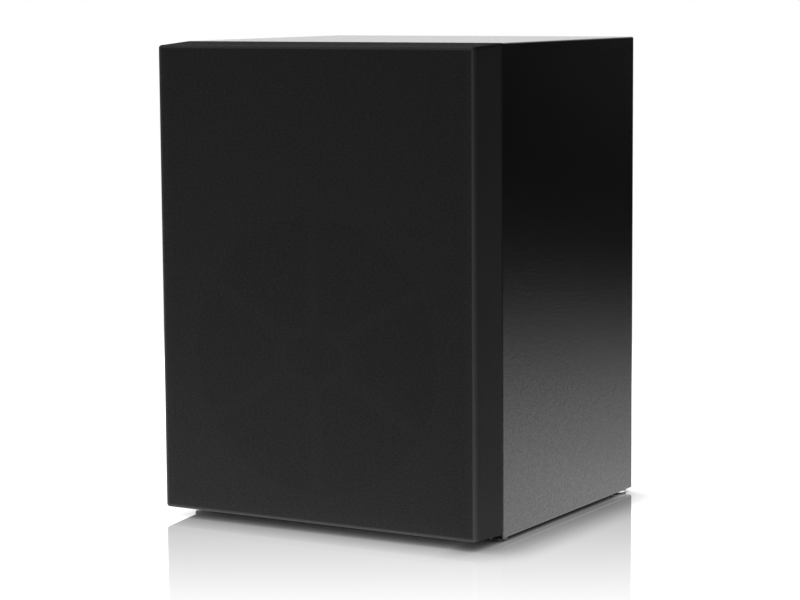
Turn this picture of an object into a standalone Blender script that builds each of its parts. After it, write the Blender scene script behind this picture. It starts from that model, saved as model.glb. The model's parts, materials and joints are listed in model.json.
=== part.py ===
"""Two-way bookshelf loudspeaker with a deep lift-off cloth grille.

Metres, +Z up, front towards -Y, +X to the right of someone facing the front's way.
The origin is the centre of the footprint, on the surface that the feet stand on.
"""

import math

import bmesh
import bpy
from mathutils import Matrix, Vector

MM = 0.001

# --- Cabinet ---
CABINET_WIDTH = 246 * MM
CABINET_DEPTH = 197 * MM
PANEL = 15 * MM
BAFFLE_THICKNESS = 22 * MM
BAFFLE_PROUD = 12 * MM
REAR_THICKNESS = 15 * MM
REAR_INSET = 6 * MM
BAFFLE_MARGIN_BELOW = 13 * MM
BAFFLE_MARGIN_ABOVE = 5 * MM
DRIVER_SPACING = 8 * MM
FOOT_RADIUS = 6.35 * MM
FOOT_HEIGHT = 2.5 * MM
FOOT_EDGE_INSET = 1.2 * MM
FOOT_SHOULDER = (0.96, 0.45)  # shares of the radius and of the height
FOOT_SOLE = 0.80  # share of the radius that touches the shelf

# --- Fits ---
GAP = 0.3 * MM
CUTOUT_CLEARANCE = 1.0 * MM
HOLE_CLEARANCE = 0.35 * MM
GRILLE_GAP = 0.5 * MM

# --- Grille ---
GRILLE_DEPTH = 35 * MM
GRILLE_SIDE_DRAFT = 1.3 * MM
GRILLE_END_DRAFT = 2.0 * MM
GRILLE_LIFT = 2.4 * MM
GRILLE_EDGE_RADIUS = 2.4 * MM
CLOTH = 0.8 * MM
FRAME_WALL = 3.0 * MM
OPENING_MARGIN = 4 * MM
SPOKE_COUNT = 6
SPOKE_WIDTH = 8 * MM
HUB_CORNER_SHARES = (0.86, 0.5, 0.14)  # of the turn from one spoke to the next
HUB_HALF_WIDTH = 31 * MM
HUB_HALF_HEIGHT = 20 * MM
HUB_RIM = 6 * MM
TWEETER_OPENING_RADIUS = 40 * MM
PEG_INSET = 29 * MM
POST_RADIUS = 5.5 * MM
PEG_RADIUS = 3.5 * MM
PEG_LENGTH = 9 * MM
CUP_WALL = 2.5 * MM
CUP_FLANGE = 1.6 * MM
CUP_RIM = 1.2 * MM
CUP_DEPTH = 21 * MM

# --- Woofer (heights are measured forwards from the baffle's face) ---
WOOFER_RADIUS = 89 * MM
WOOFER_FLANGE = 14.5 * MM
FLANGE_STEEL = 1.5 * MM
BASKET_STEEL = 1.2 * MM
BASKET_TAPER = 9 * MM
BASKET_SHELF_HEIGHT = -34 * MM
BASKET_FLOOR_HEIGHT = -54 * MM
SHELF_RADIUS = 48 * MM
SHELF_WIDTH = 8 * MM
BASKET_FLOOR_RADIUS = 44 * MM
BASKET_RIBS = 6
BASKET_WINDOW_WIDTH = 38 * MM
SURROUND_ROLL = 6.5 * MM
SURROUND_LIP = 7 * MM
RUBBER = 0.8 * MM
CONE_LAND = 3 * MM
CONE_PAPER = 0.7 * MM
CONE_NECK_HEIGHT = -29 * MM
GASKET_HEIGHT = 3 * MM
DUST_CAP_RADIUS = 20 * MM
DUST_CAP_RISE = 7 * MM
COIL_BORE = 12.6 * MM
FORMER_WALL = 0.4 * MM
COIL_WALL = 0.7 * MM
COIL_LENGTH = 12 * MM
MAGNET_GAP = 0.7 * MM
PLATE_THICKNESS = 5 * MM
MAGNET_THICKNESS = 15 * MM
MAGNET_RADIUS = 42 * MM
PLATE_RADIUS = 38 * MM
MAGNET_BORE = 22 * MM
POLE_VENT = 4 * MM
SPIDER_AMPLITUDE = 1.4 * MM
SPIDER_WAVES = 3

# --- Tweeter ---
TWEETER_RADIUS = 45 * MM
FACEPLATE_THICKNESS = 3 * MM
FACEPLATE_HORN_RADIUS = 30 * MM
THROAT_RADIUS = 16.8 * MM
DOME_RADIUS = 12.7 * MM
DOME_RISE = 4.6 * MM
DOME_CLOTH = 0.5 * MM
DOME_SURROUND_WIDTH = 2.6 * MM
DOME_LIP = 3 * MM
TWEETER_COIL_WALL = 0.7 * MM
TWEETER_COIL_LENGTH = 4 * MM
TWEETER_PLATE = 4 * MM
TWEETER_MAGNET = 9 * MM
TWEETER_MAGNET_RADIUS = 34 * MM

# --- Screws ---
SCREW_RADIUS = 1.9 * MM
SCREW_HEAD_RADIUS = 3.8 * MM
SCREW_HEAD_HEIGHT = 2.2 * MM
SCREW_LENGTH = 16 * MM
SCREW_EDGE_INSET = 5.5 * MM
HEAD_CROWN = (0.75, 0.85)  # shares of the head's radius and height
HEAD_RIM = 0.25  # share of the head's height
WOOFER_SCREWS = 4
TWEETER_SCREWS = 3

# --- Port ---
PORT_RADIUS = 24 * MM
PORT_WALL = 2 * MM
PORT_FLARE = 7 * MM
PORT_FLANGE = 6 * MM
PORT_LENGTH = 104 * MM
PORT_TOP_MARGIN = 50 * MM

# --- Terminal cup and binding posts ---
TERMINAL_HEIGHT = 92 * MM
CUP_MOUTH_WIDTH = 78 * MM
CUP_MOUTH_HEIGHT = 56 * MM
CUP_BORDER = 9 * MM
CUP_RECESS = 19 * MM
CUP_DRAFT = 5 * MM
CUP_CORNER = 6 * MM
CUP_SHELL = 2.4 * MM
POST_SPACING = 19.05 * MM
STUD_RADIUS = 3 * MM
STUD_LENGTH = 15 * MM
STUD_TAIL = 9 * MM
STUD_FLANGE_RADIUS = 5.5 * MM
STUD_FLANGE = 2 * MM
NUT_THICKNESS = 2.6 * MM
COLLAR_THICKNESS = 1.4 * MM
KNOB_RADIUS = 6.4 * MM
KNOB_LENGTH = 12 * MM
KNOB_FLUTES = 12
KNOB_FLUTE_DEPTH = 0.5 * MM

# --- Crossover, wadding and lead ---
BOARD_WIDTH = 120 * MM
BOARD_DEPTH = 76 * MM
BOARD_THICKNESS = 1.6 * MM
BOARD_BACK_MARGIN = 12 * MM
INDUCTOR_RADIUS = 20 * MM
INDUCTOR_HEIGHT = 16 * MM
INDUCTOR_BORE = 6 * MM
CAPACITOR_RADIUS = 9 * MM
CAPACITOR_LENGTH = 34 * MM
WADDING_THICKNESS = 20 * MM
WADDING_EDGE = 12 * MM
WADDING_WIDTH = 190 * MM
LEAD_RADIUS = 1.6 * MM
LEAD_ON_BOARD = (26 * MM, 10 * MM)  # the straight stretch, from the board's front edge
LEAD_RISE_SHARES = (0.22, 0.55)
LEAD_SET_BACK = 4 * MM

# --- Roundness ---
WELD = 0.01 * MM
SHARP_ANGLE = math.radians(35)
RING_STEPS = 24
INNER_STEPS = 18
SMALL_STEPS = 12

# --- Places worked out from the sizes above ---
WOOFER_Z = FOOT_HEIGHT + PANEL + BAFFLE_MARGIN_BELOW + WOOFER_RADIUS
TWEETER_Z = WOOFER_Z + WOOFER_RADIUS + DRIVER_SPACING + TWEETER_RADIUS
CABINET_TOP = TWEETER_Z + TWEETER_RADIUS + BAFFLE_MARGIN_ABOVE + PANEL
CABINET_HEIGHT = CABINET_TOP - FOOT_HEIGHT
CABINET_MID_Z = FOOT_HEIGHT + CABINET_HEIGHT / 2
TOTAL_DEPTH = GRILLE_DEPTH + GRILLE_GAP + CABINET_DEPTH
GRILLE_FRONT_Y = -TOTAL_DEPTH / 2
CABINET_FRONT_Y = GRILLE_FRONT_Y + GRILLE_DEPTH + GRILLE_GAP
CABINET_BACK_Y = TOTAL_DEPTH / 2
BAFFLE_FACE_Y = CABINET_FRONT_Y - BAFFLE_PROUD
BAFFLE_BACK_Y = BAFFLE_FACE_Y + BAFFLE_THICKNESS
REAR_FACE_Y = CABINET_BACK_Y - REAR_INSET
REAR_INNER_Y = REAR_FACE_Y - REAR_THICKNESS
INNER_WIDTH = CABINET_WIDTH - 2 * PANEL
INNER_HEIGHT = CABINET_HEIGHT - 2 * PANEL
PORT_Z = CABINET_TOP - PANEL - PORT_TOP_MARGIN
DISH_RADIUS = WOOFER_RADIUS - WOOFER_FLANGE
ROLL_OUTER = DISH_RADIUS - BASKET_STEEL - CONE_LAND + GAP
ROLL_INNER = ROLL_OUTER - 2 * SURROUND_ROLL
RUBBER_HEIGHT = GAP + FLANGE_STEEL + GAP
CONE_FRONT = RUBBER_HEIGHT - GAP
FORMER_RADIUS = COIL_BORE + FORMER_WALL
COIL_RADIUS = FORMER_RADIUS + GAP + COIL_WALL
PLATE_BORE = COIL_RADIUS + MAGNET_GAP
POLE_RADIUS = COIL_BORE - GAP - MAGNET_GAP / 2
TOP_PLATE_HEIGHT = BASKET_FLOOR_HEIGHT - BASKET_STEEL - GAP
MAGNET_HEIGHT = TOP_PLATE_HEIGHT - PLATE_THICKNESS - GAP
YOKE_HEIGHT = MAGNET_HEIGHT - MAGNET_THICKNESS - GAP
COIL_TOP = TOP_PLATE_HEIGHT - PLATE_THICKNESS / 2 + COIL_LENGTH / 2
TWEETER_PLATE_HEIGHT = -DOME_CLOTH - GAP
CUP_BORE = PEG_RADIUS + HOLE_CLEARANCE
CUP_OUTER = CUP_BORE + CUP_WALL
POST_FLOOR_Y = REAR_FACE_Y - CUP_RECESS
GRILLE_OPENING_RADIUS = WOOFER_RADIUS + OPENING_MARGIN


def new_collection(name):
    collection = bpy.data.collections.new(name)
    bpy.context.scene.collection.children.link(collection)
    return collection


def start():
    """Empty the scene and make the collections for the parts and for the cutters."""
    for old in list(bpy.data.objects):
        bpy.data.objects.remove(old)
    return new_collection("bookshelf_speaker"), new_collection("cutters")


PARTS, CUTTERS = start()


def material(name, colour, roughness, metallic=0.0):
    made = bpy.data.materials.new(name)
    made.use_nodes = True
    shader = made.node_tree.nodes["Principled BSDF"]
    shader.inputs["Base Color"].default_value = (*colour, 1.0)
    shader.inputs["Roughness"].default_value = roughness
    shader.inputs["Metallic"].default_value = metallic
    return made


VINYL = material("black_textured_vinyl", (0.022, 0.023, 0.024), 0.45)
BOARD = material("black_board", (0.030, 0.028, 0.026), 0.75)
CLOTH_BLACK = material("black_grille_cloth", (0.030, 0.030, 0.030), 0.90)
ABS_BLACK = material("black_abs", (0.025, 0.025, 0.026), 0.50)
CLEAR_PAD = material("clear_pad", (0.80, 0.80, 0.78), 0.25)
STEEL_BLACK = material("black_steel", (0.035, 0.035, 0.036), 0.40, 0.3)
ZINC = material("zinc_steel", (0.62, 0.62, 0.60), 0.35, 1.0)
SCREW_BLACK = material("black_screw", (0.03, 0.03, 0.03), 0.35, 0.8)
FERRITE = material("ferrite", (0.06, 0.06, 0.065), 0.60)
RUBBER_BLACK = material("black_rubber", (0.020, 0.020, 0.021), 0.60)
PAPER = material("black_paper", (0.032, 0.031, 0.030), 0.80)
COPPER = material("copper_winding", (0.70, 0.32, 0.16), 0.30, 1.0)
KRAFT = material("kapton_former", (0.45, 0.28, 0.10), 0.40)
AMBER_CLOTH = material("spider_cloth", (0.55, 0.38, 0.16), 0.85)
SILK = material("silk_dome", (0.04, 0.038, 0.036), 0.50)
GOLD = material("gold_plate", (0.83, 0.63, 0.28), 0.22, 1.0)
KNOB_RED = material("red_knob", (0.55, 0.02, 0.02), 0.35)
KNOB_BLACK = material("black_knob", (0.03, 0.03, 0.03), 0.35)
CIRCUIT = material("circuit_board", (0.10, 0.22, 0.08), 0.55)
FILM = material("film_capacitor", (0.75, 0.58, 0.10), 0.40)
FLEECE = material("polyester_wadding", (0.80, 0.80, 0.78), 0.95)
WIRE_RED = material("red_wire", (0.45, 0.03, 0.03), 0.45)

# A piece's own frame: local Z comes out of the front, out of the back, or stays upright.
FRONTWARDS = (math.pi / 2, 0.0, 0.0)
BACKWARDS = (-math.pi / 2, 0.0, 0.0)
UPRIGHT = (0.0, 0.0, 0.0)


def add(name, data, finish, place=(0.0, 0.0, 0.0), turn=UPRIGHT, cutter=False):
    """Link an object to its collection with its finish, place and turn."""
    piece = bpy.data.objects.new(name, data)
    piece.location = place
    piece.rotation_euler = turn
    if cutter:
        piece.hide_render = True
        piece.display_type = "WIRE"
        CUTTERS.objects.link(piece)
        return piece
    data.materials.append(finish)
    PARTS.objects.link(piece)
    return piece


def block(name, size, centre, finish):
    """A box of that size round its centre."""
    shape = bmesh.new()
    bmesh.ops.create_cube(shape, size=1.0, matrix=Matrix.Diagonal((*size, 1.0)))
    mesh = bpy.data.meshes.new(name)
    shape.to_mesh(mesh)
    shape.free()
    return add(name, mesh, finish, centre)


def meshed(piece):
    """Make an object's evaluated shape a mesh in the same place, welded, smooth but for sharp edges."""
    bpy.context.view_layer.update()
    evaluated = piece.evaluated_get(bpy.context.evaluated_depsgraph_get())
    mesh = bpy.data.meshes.new_from_object(evaluated)
    shape = bmesh.new()
    shape.from_mesh(mesh)
    bmesh.ops.remove_doubles(shape, verts=shape.verts, dist=WELD)
    shape.to_mesh(mesh)
    shape.free()
    mesh.shade_smooth()
    mesh.set_sharp_from_angle(angle=SHARP_ANGLE)
    name, matrix, home = piece.name, piece.matrix_world.copy(), piece.users_collection[0]
    hidden, shown_as = piece.hide_render, piece.display_type
    bpy.data.objects.remove(piece)
    made = bpy.data.objects.new(name, mesh)
    made.matrix_world = matrix
    made.hide_render = hidden
    made.display_type = shown_as
    home.objects.link(made)
    return made


def clockwise(profile):
    """The profile running down its outer side, which gives a turned piece outward faces."""
    area = sum(a[0] * b[1] - b[0] * a[1] for a, b in zip(profile, profile[1:] + profile[:1]))
    return list(profile) if area < 0 else list(reversed(profile))


def turned(name, profile, finish, place, turn, steps=RING_STEPS, ring=True, cutter=False):
    """Turn (radius, height) points round local Z: a closed section, or one that ends on the axis."""
    points = clockwise(profile)
    count = len(points)
    edges = [(i, i + 1) for i in range(count - 1)] + ([(count - 1, 0)] if ring else [])
    mesh = bpy.data.meshes.new(name)
    mesh.from_pydata([(r, 0.0, h) for r, h in points], edges, [])
    piece = add(name, mesh, finish, place, turn, cutter)
    screw = piece.modifiers.new("turn", "SCREW")
    screw.axis = "Z"
    screw.steps = steps
    screw.render_steps = steps
    screw.use_merge_vertices = True
    screw.merge_threshold = WELD
    return meshed(piece)


def ring_section(inner, outer, top, bottom):
    return [(outer, top), (outer, bottom), (inner, bottom), (inner, top)]


def circle(radius, centre=(0.0, 0.0), count=RING_STEPS):
    turns = [2 * math.pi * i / count for i in range(count)]
    return [(centre[0] + radius * math.cos(t), centre[1] + radius * math.sin(t)) for t in turns]


def rectangle(width, height, centre=(0.0, 0.0)):
    x, y = centre
    signs = [(-1, -1), (1, -1), (1, 1), (-1, 1)]
    return [(x + sx * width / 2, y + sy * height / 2) for sx, sy in signs]


def rounded_rectangle(width, height, radius, centre=(0.0, 0.0), corner_steps=3):
    points = []
    for quarter, (sx, sy) in enumerate([(1, 1), (-1, 1), (-1, -1), (1, -1)]):
        middle = (centre[0] + sx * (width / 2 - radius), centre[1] + sy * (height / 2 - radius))
        for step in range(corner_steps + 1):
            t = (quarter + step / corner_steps) * math.pi / 2
            points.append((middle[0] + radius * math.cos(t), middle[1] + radius * math.sin(t)))
    return points


def flat(name, outlines, thickness, finish, place, turn, cutter=False):
    """A flat piece from its outline and the outlines of its holes, centred on its thickness."""
    curve = bpy.data.curves.new(name, "CURVE")
    curve.dimensions = "2D"
    curve.fill_mode = "BOTH"
    curve.extrude = thickness / 2
    for outline in outlines:
        spline = curve.splines.new("POLY")
        spline.points.add(len(outline) - 1)
        for point, (x, y) in zip(spline.points, outline):
            point.co = (x, y, 0.0, 1.0)
        spline.use_cyclic_u = True
    return meshed(add(name, curve, finish, place, turn, cutter))


def combine(piece, other, operation="DIFFERENCE"):
    boolean = piece.modifiers.new(operation.lower(), "BOOLEAN")
    boolean.operation = operation
    boolean.solver = "EXACT"
    boolean.object = other


def bolt_circle(count, radius, first_turn):
    turns = [first_turn + 2 * math.pi * i / count for i in range(count)]
    return [(radius * math.cos(t), radius * math.sin(t)) for t in turns]


def hole_cutter(name, centres, radius, low, high, place, turn):
    """Round cutters at those centres in one object, from low to high along local Z."""
    shape = bmesh.new()
    for x, y in centres:
        middle = Matrix.Translation((x, y, (low + high) / 2))
        bmesh.ops.create_cone(
            shape,
            cap_ends=True,
            segments=SMALL_STEPS,
            radius1=radius,
            radius2=radius,
            depth=high - low,
            matrix=middle,
        )
    mesh = bpy.data.meshes.new(name)
    shape.to_mesh(mesh)
    shape.free()
    return add(name, mesh, None, place, turn, cutter=True)


WOOFER_SCREW_PLACES = bolt_circle(WOOFER_SCREWS, WOOFER_RADIUS - SCREW_EDGE_INSET, math.pi / 4)
TWEETER_SCREW_PLACES = bolt_circle(TWEETER_SCREWS, TWEETER_RADIUS - SCREW_EDGE_INSET, math.pi / 2)
PEG_PLACES = [
    (side * (CABINET_WIDTH / 2 - PEG_INSET), level * (CABINET_HEIGHT / 2 - PEG_INSET))
    for level in (-1, 1)
    for side in (-1, 1)
]


def shifted(points, rise):
    return [(x, y + rise) for x, y in points]


# --- Cabinet ---
def make_wrap():
    """Four mitred panels that make the box round the baffle and the rear panel."""
    middle_y = (CABINET_FRONT_Y + CABINET_BACK_Y) / 2
    shift = GAP / math.sqrt(2)
    names = ["top_panel", "left_panel", "bottom_panel", "right_panel"]
    for quarter, name in enumerate(names):
        across = CABINET_WIDTH if quarter % 2 == 0 else CABINET_HEIGHT
        out = (CABINET_HEIGHT if quarter % 2 == 0 else CABINET_WIDTH) / 2
        long = across / 2 - shift
        outline = [
            (-long, out),
            (long, out),
            (long - PANEL, out - PANEL),
            (-long + PANEL, out - PANEL),
        ]
        turn = Matrix.Rotation(quarter * math.pi / 2, 2)
        outline = [tuple(turn @ Vector(point)) for point in outline]
        place = (0.0, middle_y, CABINET_MID_Z)
        flat(name, [outline], CABINET_DEPTH, VINYL, place, FRONTWARDS)


def make_baffle():
    fit = 2 * GAP
    woofer_rise = WOOFER_Z - CABINET_MID_Z
    tweeter_rise = TWEETER_Z - CABINET_MID_Z
    pilot = SCREW_RADIUS + HOLE_CLEARANCE
    outlines = [
        rectangle(INNER_WIDTH - fit, INNER_HEIGHT - fit),
        circle(DISH_RADIUS + CUTOUT_CLEARANCE, (0.0, woofer_rise)),
        circle(TWEETER_MAGNET_RADIUS + CUTOUT_CLEARANCE, (0.0, tweeter_rise), INNER_STEPS),
    ]
    for centre in PEG_PLACES:
        outlines.append(circle(CUP_OUTER + HOLE_CLEARANCE, centre, SMALL_STEPS))
    for centre in shifted(WOOFER_SCREW_PLACES, woofer_rise):
        outlines.append(circle(pilot, centre, SMALL_STEPS))
    for centre in shifted(TWEETER_SCREW_PLACES, tweeter_rise):
        outlines.append(circle(pilot, centre, SMALL_STEPS))
    place = (0.0, (BAFFLE_FACE_Y + BAFFLE_BACK_Y) / 2, CABINET_MID_Z)
    flat("front_baffle", outlines, BAFFLE_THICKNESS, BOARD, place, FRONTWARDS)


def terminal_screw_places():
    """The four screws near the corners of the terminal cup's border."""
    x = (CUP_MOUTH_WIDTH + CUP_BORDER) / 2
    y = (CUP_MOUTH_HEIGHT + CUP_BORDER) / 2
    return [(sx * x, sy * y) for sy in (-1, 1) for sx in (-1, 1)]


def make_rear_panel():
    """Local Y points down here, because local Z comes out of the back."""
    fit = 2 * GAP
    cup_y = CABINET_MID_Z - TERMINAL_HEIGHT - FOOT_HEIGHT
    port_y = CABINET_MID_Z - PORT_Z
    hole = rounded_rectangle(
        CUP_MOUTH_WIDTH + 2 * CUTOUT_CLEARANCE,
        CUP_MOUTH_HEIGHT + 2 * CUTOUT_CLEARANCE,
        CUP_CORNER,
        (0.0, cup_y),
    )
    outlines = [
        rectangle(INNER_WIDTH - fit, INNER_HEIGHT - fit),
        hole,
        circle(PORT_RADIUS + PORT_FLARE + CUTOUT_CLEARANCE, (0.0, port_y)),
    ]
    for centre in shifted(terminal_screw_places(), cup_y):
        outlines.append(circle(SCREW_RADIUS + HOLE_CLEARANCE, centre, SMALL_STEPS))
    place = (0.0, (REAR_FACE_Y + REAR_INNER_Y) / 2, CABINET_MID_Z)
    flat("rear_panel", outlines, REAR_THICKNESS, VINYL, place, BACKWARDS)


def make_feet():
    """Stick-on clear bumpers, close to the corners of the underside."""
    inset = FOOT_EDGE_INSET + FOOT_RADIUS
    top = FOOT_HEIGHT - GAP
    profile = [
        (0.0, top),
        (FOOT_RADIUS, top),
        (FOOT_RADIUS * FOOT_SHOULDER[0], top * FOOT_SHOULDER[1]),
        (FOOT_RADIUS * FOOT_SOLE, 0.0),
        (0.0, 0.0),
    ]
    for front in (True, False):
        for side in (-1, 1):
            x = side * (CABINET_WIDTH / 2 - inset)
            y = CABINET_FRONT_Y + inset if front else CABINET_BACK_Y - inset
            name = f"foot_{'front' if front else 'back'}_{'left' if side < 0 else 'right'}"
            turned(name, profile, CLEAR_PAD, (x, y, 0.0), UPRIGHT, 16, ring=False)


# --- Woofer ---
WOOFER_PLACE = (0.0, BAFFLE_FACE_Y, WOOFER_Z)


def woofer_piece(name, profile, finish, steps=RING_STEPS, ring=True):
    return turned(name, profile, finish, WOOFER_PLACE, FRONTWARDS, steps, ring)


def basket_window_cutter():
    """Boxes through the sloping wall of the basket, one between each two ribs."""
    reach = DISH_RADIUS
    low = BASKET_SHELF_HEIGHT + 4 * BASKET_STEEL
    high = -6 * BASKET_STEEL
    shape = bmesh.new()
    for i in range(BASKET_RIBS):
        turn = Matrix.Rotation(2 * math.pi * i / BASKET_RIBS, 4, "Z")
        size = Matrix.Diagonal((reach, BASKET_WINDOW_WIDTH, high - low, 1.0))
        middle = Matrix.Translation((reach, 0.0, (low + high) / 2))
        bmesh.ops.create_cube(shape, size=1.0, matrix=turn @ middle @ size)
    mesh = bpy.data.meshes.new("basket_windows")
    shape.to_mesh(mesh)
    shape.free()
    return add("basket_windows", mesh, None, WOOFER_PLACE, FRONTWARDS, cutter=True)


def make_basket():
    face = GAP + FLANGE_STEEL
    line = [
        (DISH_RADIUS, face),
        (DISH_RADIUS - BASKET_STEEL, GAP),
        (DISH_RADIUS - BASKET_TAPER, BASKET_SHELF_HEIGHT + SHELF_WIDTH),
        (SHELF_RADIUS + SHELF_WIDTH, BASKET_SHELF_HEIGHT),
        (SHELF_RADIUS, BASKET_SHELF_HEIGHT),
        (BASKET_FLOOR_RADIUS, BASKET_FLOOR_HEIGHT),
        (PLATE_BORE + GAP, BASKET_FLOOR_HEIGHT),
    ]
    outside = [
        (PLATE_BORE + GAP, BASKET_FLOOR_HEIGHT - BASKET_STEEL),
        (BASKET_FLOOR_RADIUS + BASKET_STEEL, BASKET_FLOOR_HEIGHT - BASKET_STEEL),
        (SHELF_RADIUS + BASKET_STEEL, BASKET_SHELF_HEIGHT - BASKET_STEEL),
        (SHELF_RADIUS + SHELF_WIDTH + BASKET_STEEL, BASKET_SHELF_HEIGHT - BASKET_STEEL),
        (DISH_RADIUS - BASKET_TAPER + BASKET_STEEL, BASKET_SHELF_HEIGHT + SHELF_WIDTH),
        (DISH_RADIUS, -BASKET_STEEL),
        (DISH_RADIUS, GAP),
        (WOOFER_RADIUS, GAP),
        (WOOFER_RADIUS, face),
    ]
    basket = woofer_piece("woofer_basket", line + outside, STEEL_BLACK)
    combine(basket, basket_window_cutter())
    hole = SCREW_RADIUS + HOLE_CLEARANCE
    reach = 3 * FLANGE_STEEL
    holes = hole_cutter(
        "woofer_screw_holes", WOOFER_SCREW_PLACES, hole, -reach, reach, WOOFER_PLACE, FRONTWARDS
    )
    combine(basket, holes)


def arc(centre, radius, first, last, count):
    """Points on an arc; angles in degrees from the first to the last."""
    turns = [math.radians(first + (last - first) * i / (count - 1)) for i in range(count)]
    return [(centre[0] + radius * math.cos(t), centre[1] + radius * math.sin(t)) for t in turns]


def make_surround():
    """A half roll between the cone's edge and a lip on the basket's flange."""
    middle = ((ROLL_OUTER + ROLL_INNER) / 2, RUBBER_HEIGHT + RUBBER)
    lip = ROLL_OUTER + SURROUND_LIP
    front = arc(middle, SURROUND_ROLL, 180, 0, 6)
    back = arc((middle[0], RUBBER_HEIGHT), SURROUND_ROLL - RUBBER, 0, 180, 6)
    land = ROLL_INNER - CONE_LAND
    profile = [
        (land, RUBBER_HEIGHT + RUBBER),
        *front,
        (lip, RUBBER_HEIGHT + RUBBER),
        (lip, RUBBER_HEIGHT),
        *back,
        (land, RUBBER_HEIGHT),
    ]
    woofer_piece("woofer_surround", profile, RUBBER_BLACK)
    gasket = ring_section(
        ROLL_OUTER + GAP,
        lip,
        RUBBER_HEIGHT + RUBBER + GAP + GASKET_HEIGHT,
        RUBBER_HEIGHT + RUBBER + GAP,
    )
    woofer_piece("woofer_gasket", gasket, RUBBER_BLACK)


def cone_line():
    """The cone's front face, a shallow curve from its edge down to the voice coil."""
    edge = (ROLL_INNER, CONE_FRONT)
    neck = (FORMER_RADIUS + GAP, CONE_NECK_HEIGHT)
    bow = 2 * CONE_PAPER
    points = []
    for i in range(5):
        share = i / 4
        r = edge[0] + (neck[0] - edge[0]) * share
        h = edge[1] + (neck[1] - edge[1]) * share + bow * math.sin(math.pi * share)
        points.append((r, h))
    return points


def height_on(line, radius):
    """The height of a falling line at that radius."""
    for (r1, h1), (r2, h2) in zip(line, line[1:]):
        if min(r1, r2) <= radius <= max(r1, r2):
            return h1 + (h2 - h1) * (radius - r1) / (r2 - r1)
    return line[-1][1]


def make_moving_parts():
    """Cone, dust cap, former and voice coil: they travel together along the axis."""
    line = cone_line()
    woofer_piece("woofer_cone", line + [(r, h - CONE_PAPER) for r, h in line[::-1]], PAPER)
    seat = height_on(line, DUST_CAP_RADIUS) + GAP
    count = 5
    rises = [math.sin(math.pi / 2 * i / (count - 1)) for i in range(count)]
    radii = [DUST_CAP_RADIUS * math.cos(math.pi / 2 * i / (count - 1)) for i in range(count)]
    top = [(r, seat + CONE_PAPER + DUST_CAP_RISE * s) for r, s in zip(radii, rises)]
    top[-1] = (0.0, top[-1][1])
    under = [(max(r - CONE_PAPER, 0.0), h - CONE_PAPER) for r, h in top]
    woofer_piece("woofer_dust_cap", top[::-1] + under, PAPER, INNER_STEPS, ring=False)
    bottom = COIL_TOP - COIL_LENGTH
    neck_top = seat - 2 * CONE_PAPER
    former = ring_section(COIL_BORE, FORMER_RADIUS, neck_top, bottom)
    woofer_piece("woofer_former", former, KRAFT, INNER_STEPS)
    coil = ring_section(FORMER_RADIUS + GAP, COIL_RADIUS, COIL_TOP, bottom)
    woofer_piece("woofer_voice_coil", coil, COPPER, INNER_STEPS)


def make_spider():
    """A corrugated cloth ring that centres the former."""
    inner = FORMER_RADIUS + GAP
    outer = SHELF_RADIUS + SHELF_WIDTH - BASKET_STEEL
    rest = BASKET_SHELF_HEIGHT + GAP + CONE_PAPER
    lip = SHELF_RADIUS - GAP
    count = 4 * SPIDER_WAVES + 1
    wavy = []
    for i in range(count):
        share = i / (count - 1)
        swing = SPIDER_AMPLITUDE * math.sin(2 * math.pi * SPIDER_WAVES * share)
        wavy.append((lip + (inner + CONE_LAND - lip) * share, rest + swing))
    line = [(outer, rest), *wavy, (inner, rest)]
    profile = line + [(r, h - CONE_PAPER) for r, h in line[::-1]]
    woofer_piece("woofer_spider", profile, AMBER_CLOTH, INNER_STEPS)


def make_motor():
    top = ring_section(
        PLATE_BORE, PLATE_RADIUS, TOP_PLATE_HEIGHT, TOP_PLATE_HEIGHT - PLATE_THICKNESS
    )
    woofer_piece("woofer_top_plate", top, ZINC, INNER_STEPS)
    magnet = ring_section(
        MAGNET_BORE, MAGNET_RADIUS, MAGNET_HEIGHT, MAGNET_HEIGHT - MAGNET_THICKNESS
    )
    woofer_piece("woofer_magnet", magnet, FERRITE, INNER_STEPS)
    bottom = YOKE_HEIGHT - PLATE_THICKNESS
    yoke = [
        (POLE_RADIUS, TOP_PLATE_HEIGHT),
        (POLE_RADIUS, YOKE_HEIGHT),
        (PLATE_RADIUS, YOKE_HEIGHT),
        (PLATE_RADIUS, bottom),
        (POLE_VENT, bottom),
        (POLE_VENT, TOP_PLATE_HEIGHT),
    ]
    woofer_piece("woofer_yoke", yoke, ZINC, INNER_STEPS)


TERMINAL_SIZE = (24 * MM, 3 * MM, 11 * MM)
TERMINAL_Y = BAFFLE_FACE_Y - BASKET_FLOOR_HEIGHT - TERMINAL_SIZE[2]
TERMINAL_Z = WOOFER_Z - BASKET_FLOOR_RADIUS - 3 * BASKET_STEEL - TERMINAL_SIZE[1]


def make_woofer_terminal():
    """The tag strip under the basket's lower wall, where the lead is soldered."""
    width, thickness, depth = TERMINAL_SIZE
    block(
        "woofer_terminal_strip",
        (width, depth, thickness),
        (0.0, TERMINAL_Y, TERMINAL_Z),
        KRAFT,
    )


# --- Screws ---
def screw_profile():
    head = SCREW_HEAD_HEIGHT
    return [
        (0.0, head),
        (SCREW_HEAD_RADIUS * HEAD_CROWN[0], head * HEAD_CROWN[1]),
        (SCREW_HEAD_RADIUS, head * HEAD_RIM),
        (SCREW_HEAD_RADIUS, 0.0),
        (SCREW_RADIUS, 0.0),
        (SCREW_RADIUS, -SCREW_LENGTH + 2 * SCREW_RADIUS),
        (0.0, -SCREW_LENGTH),
    ]


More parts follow.
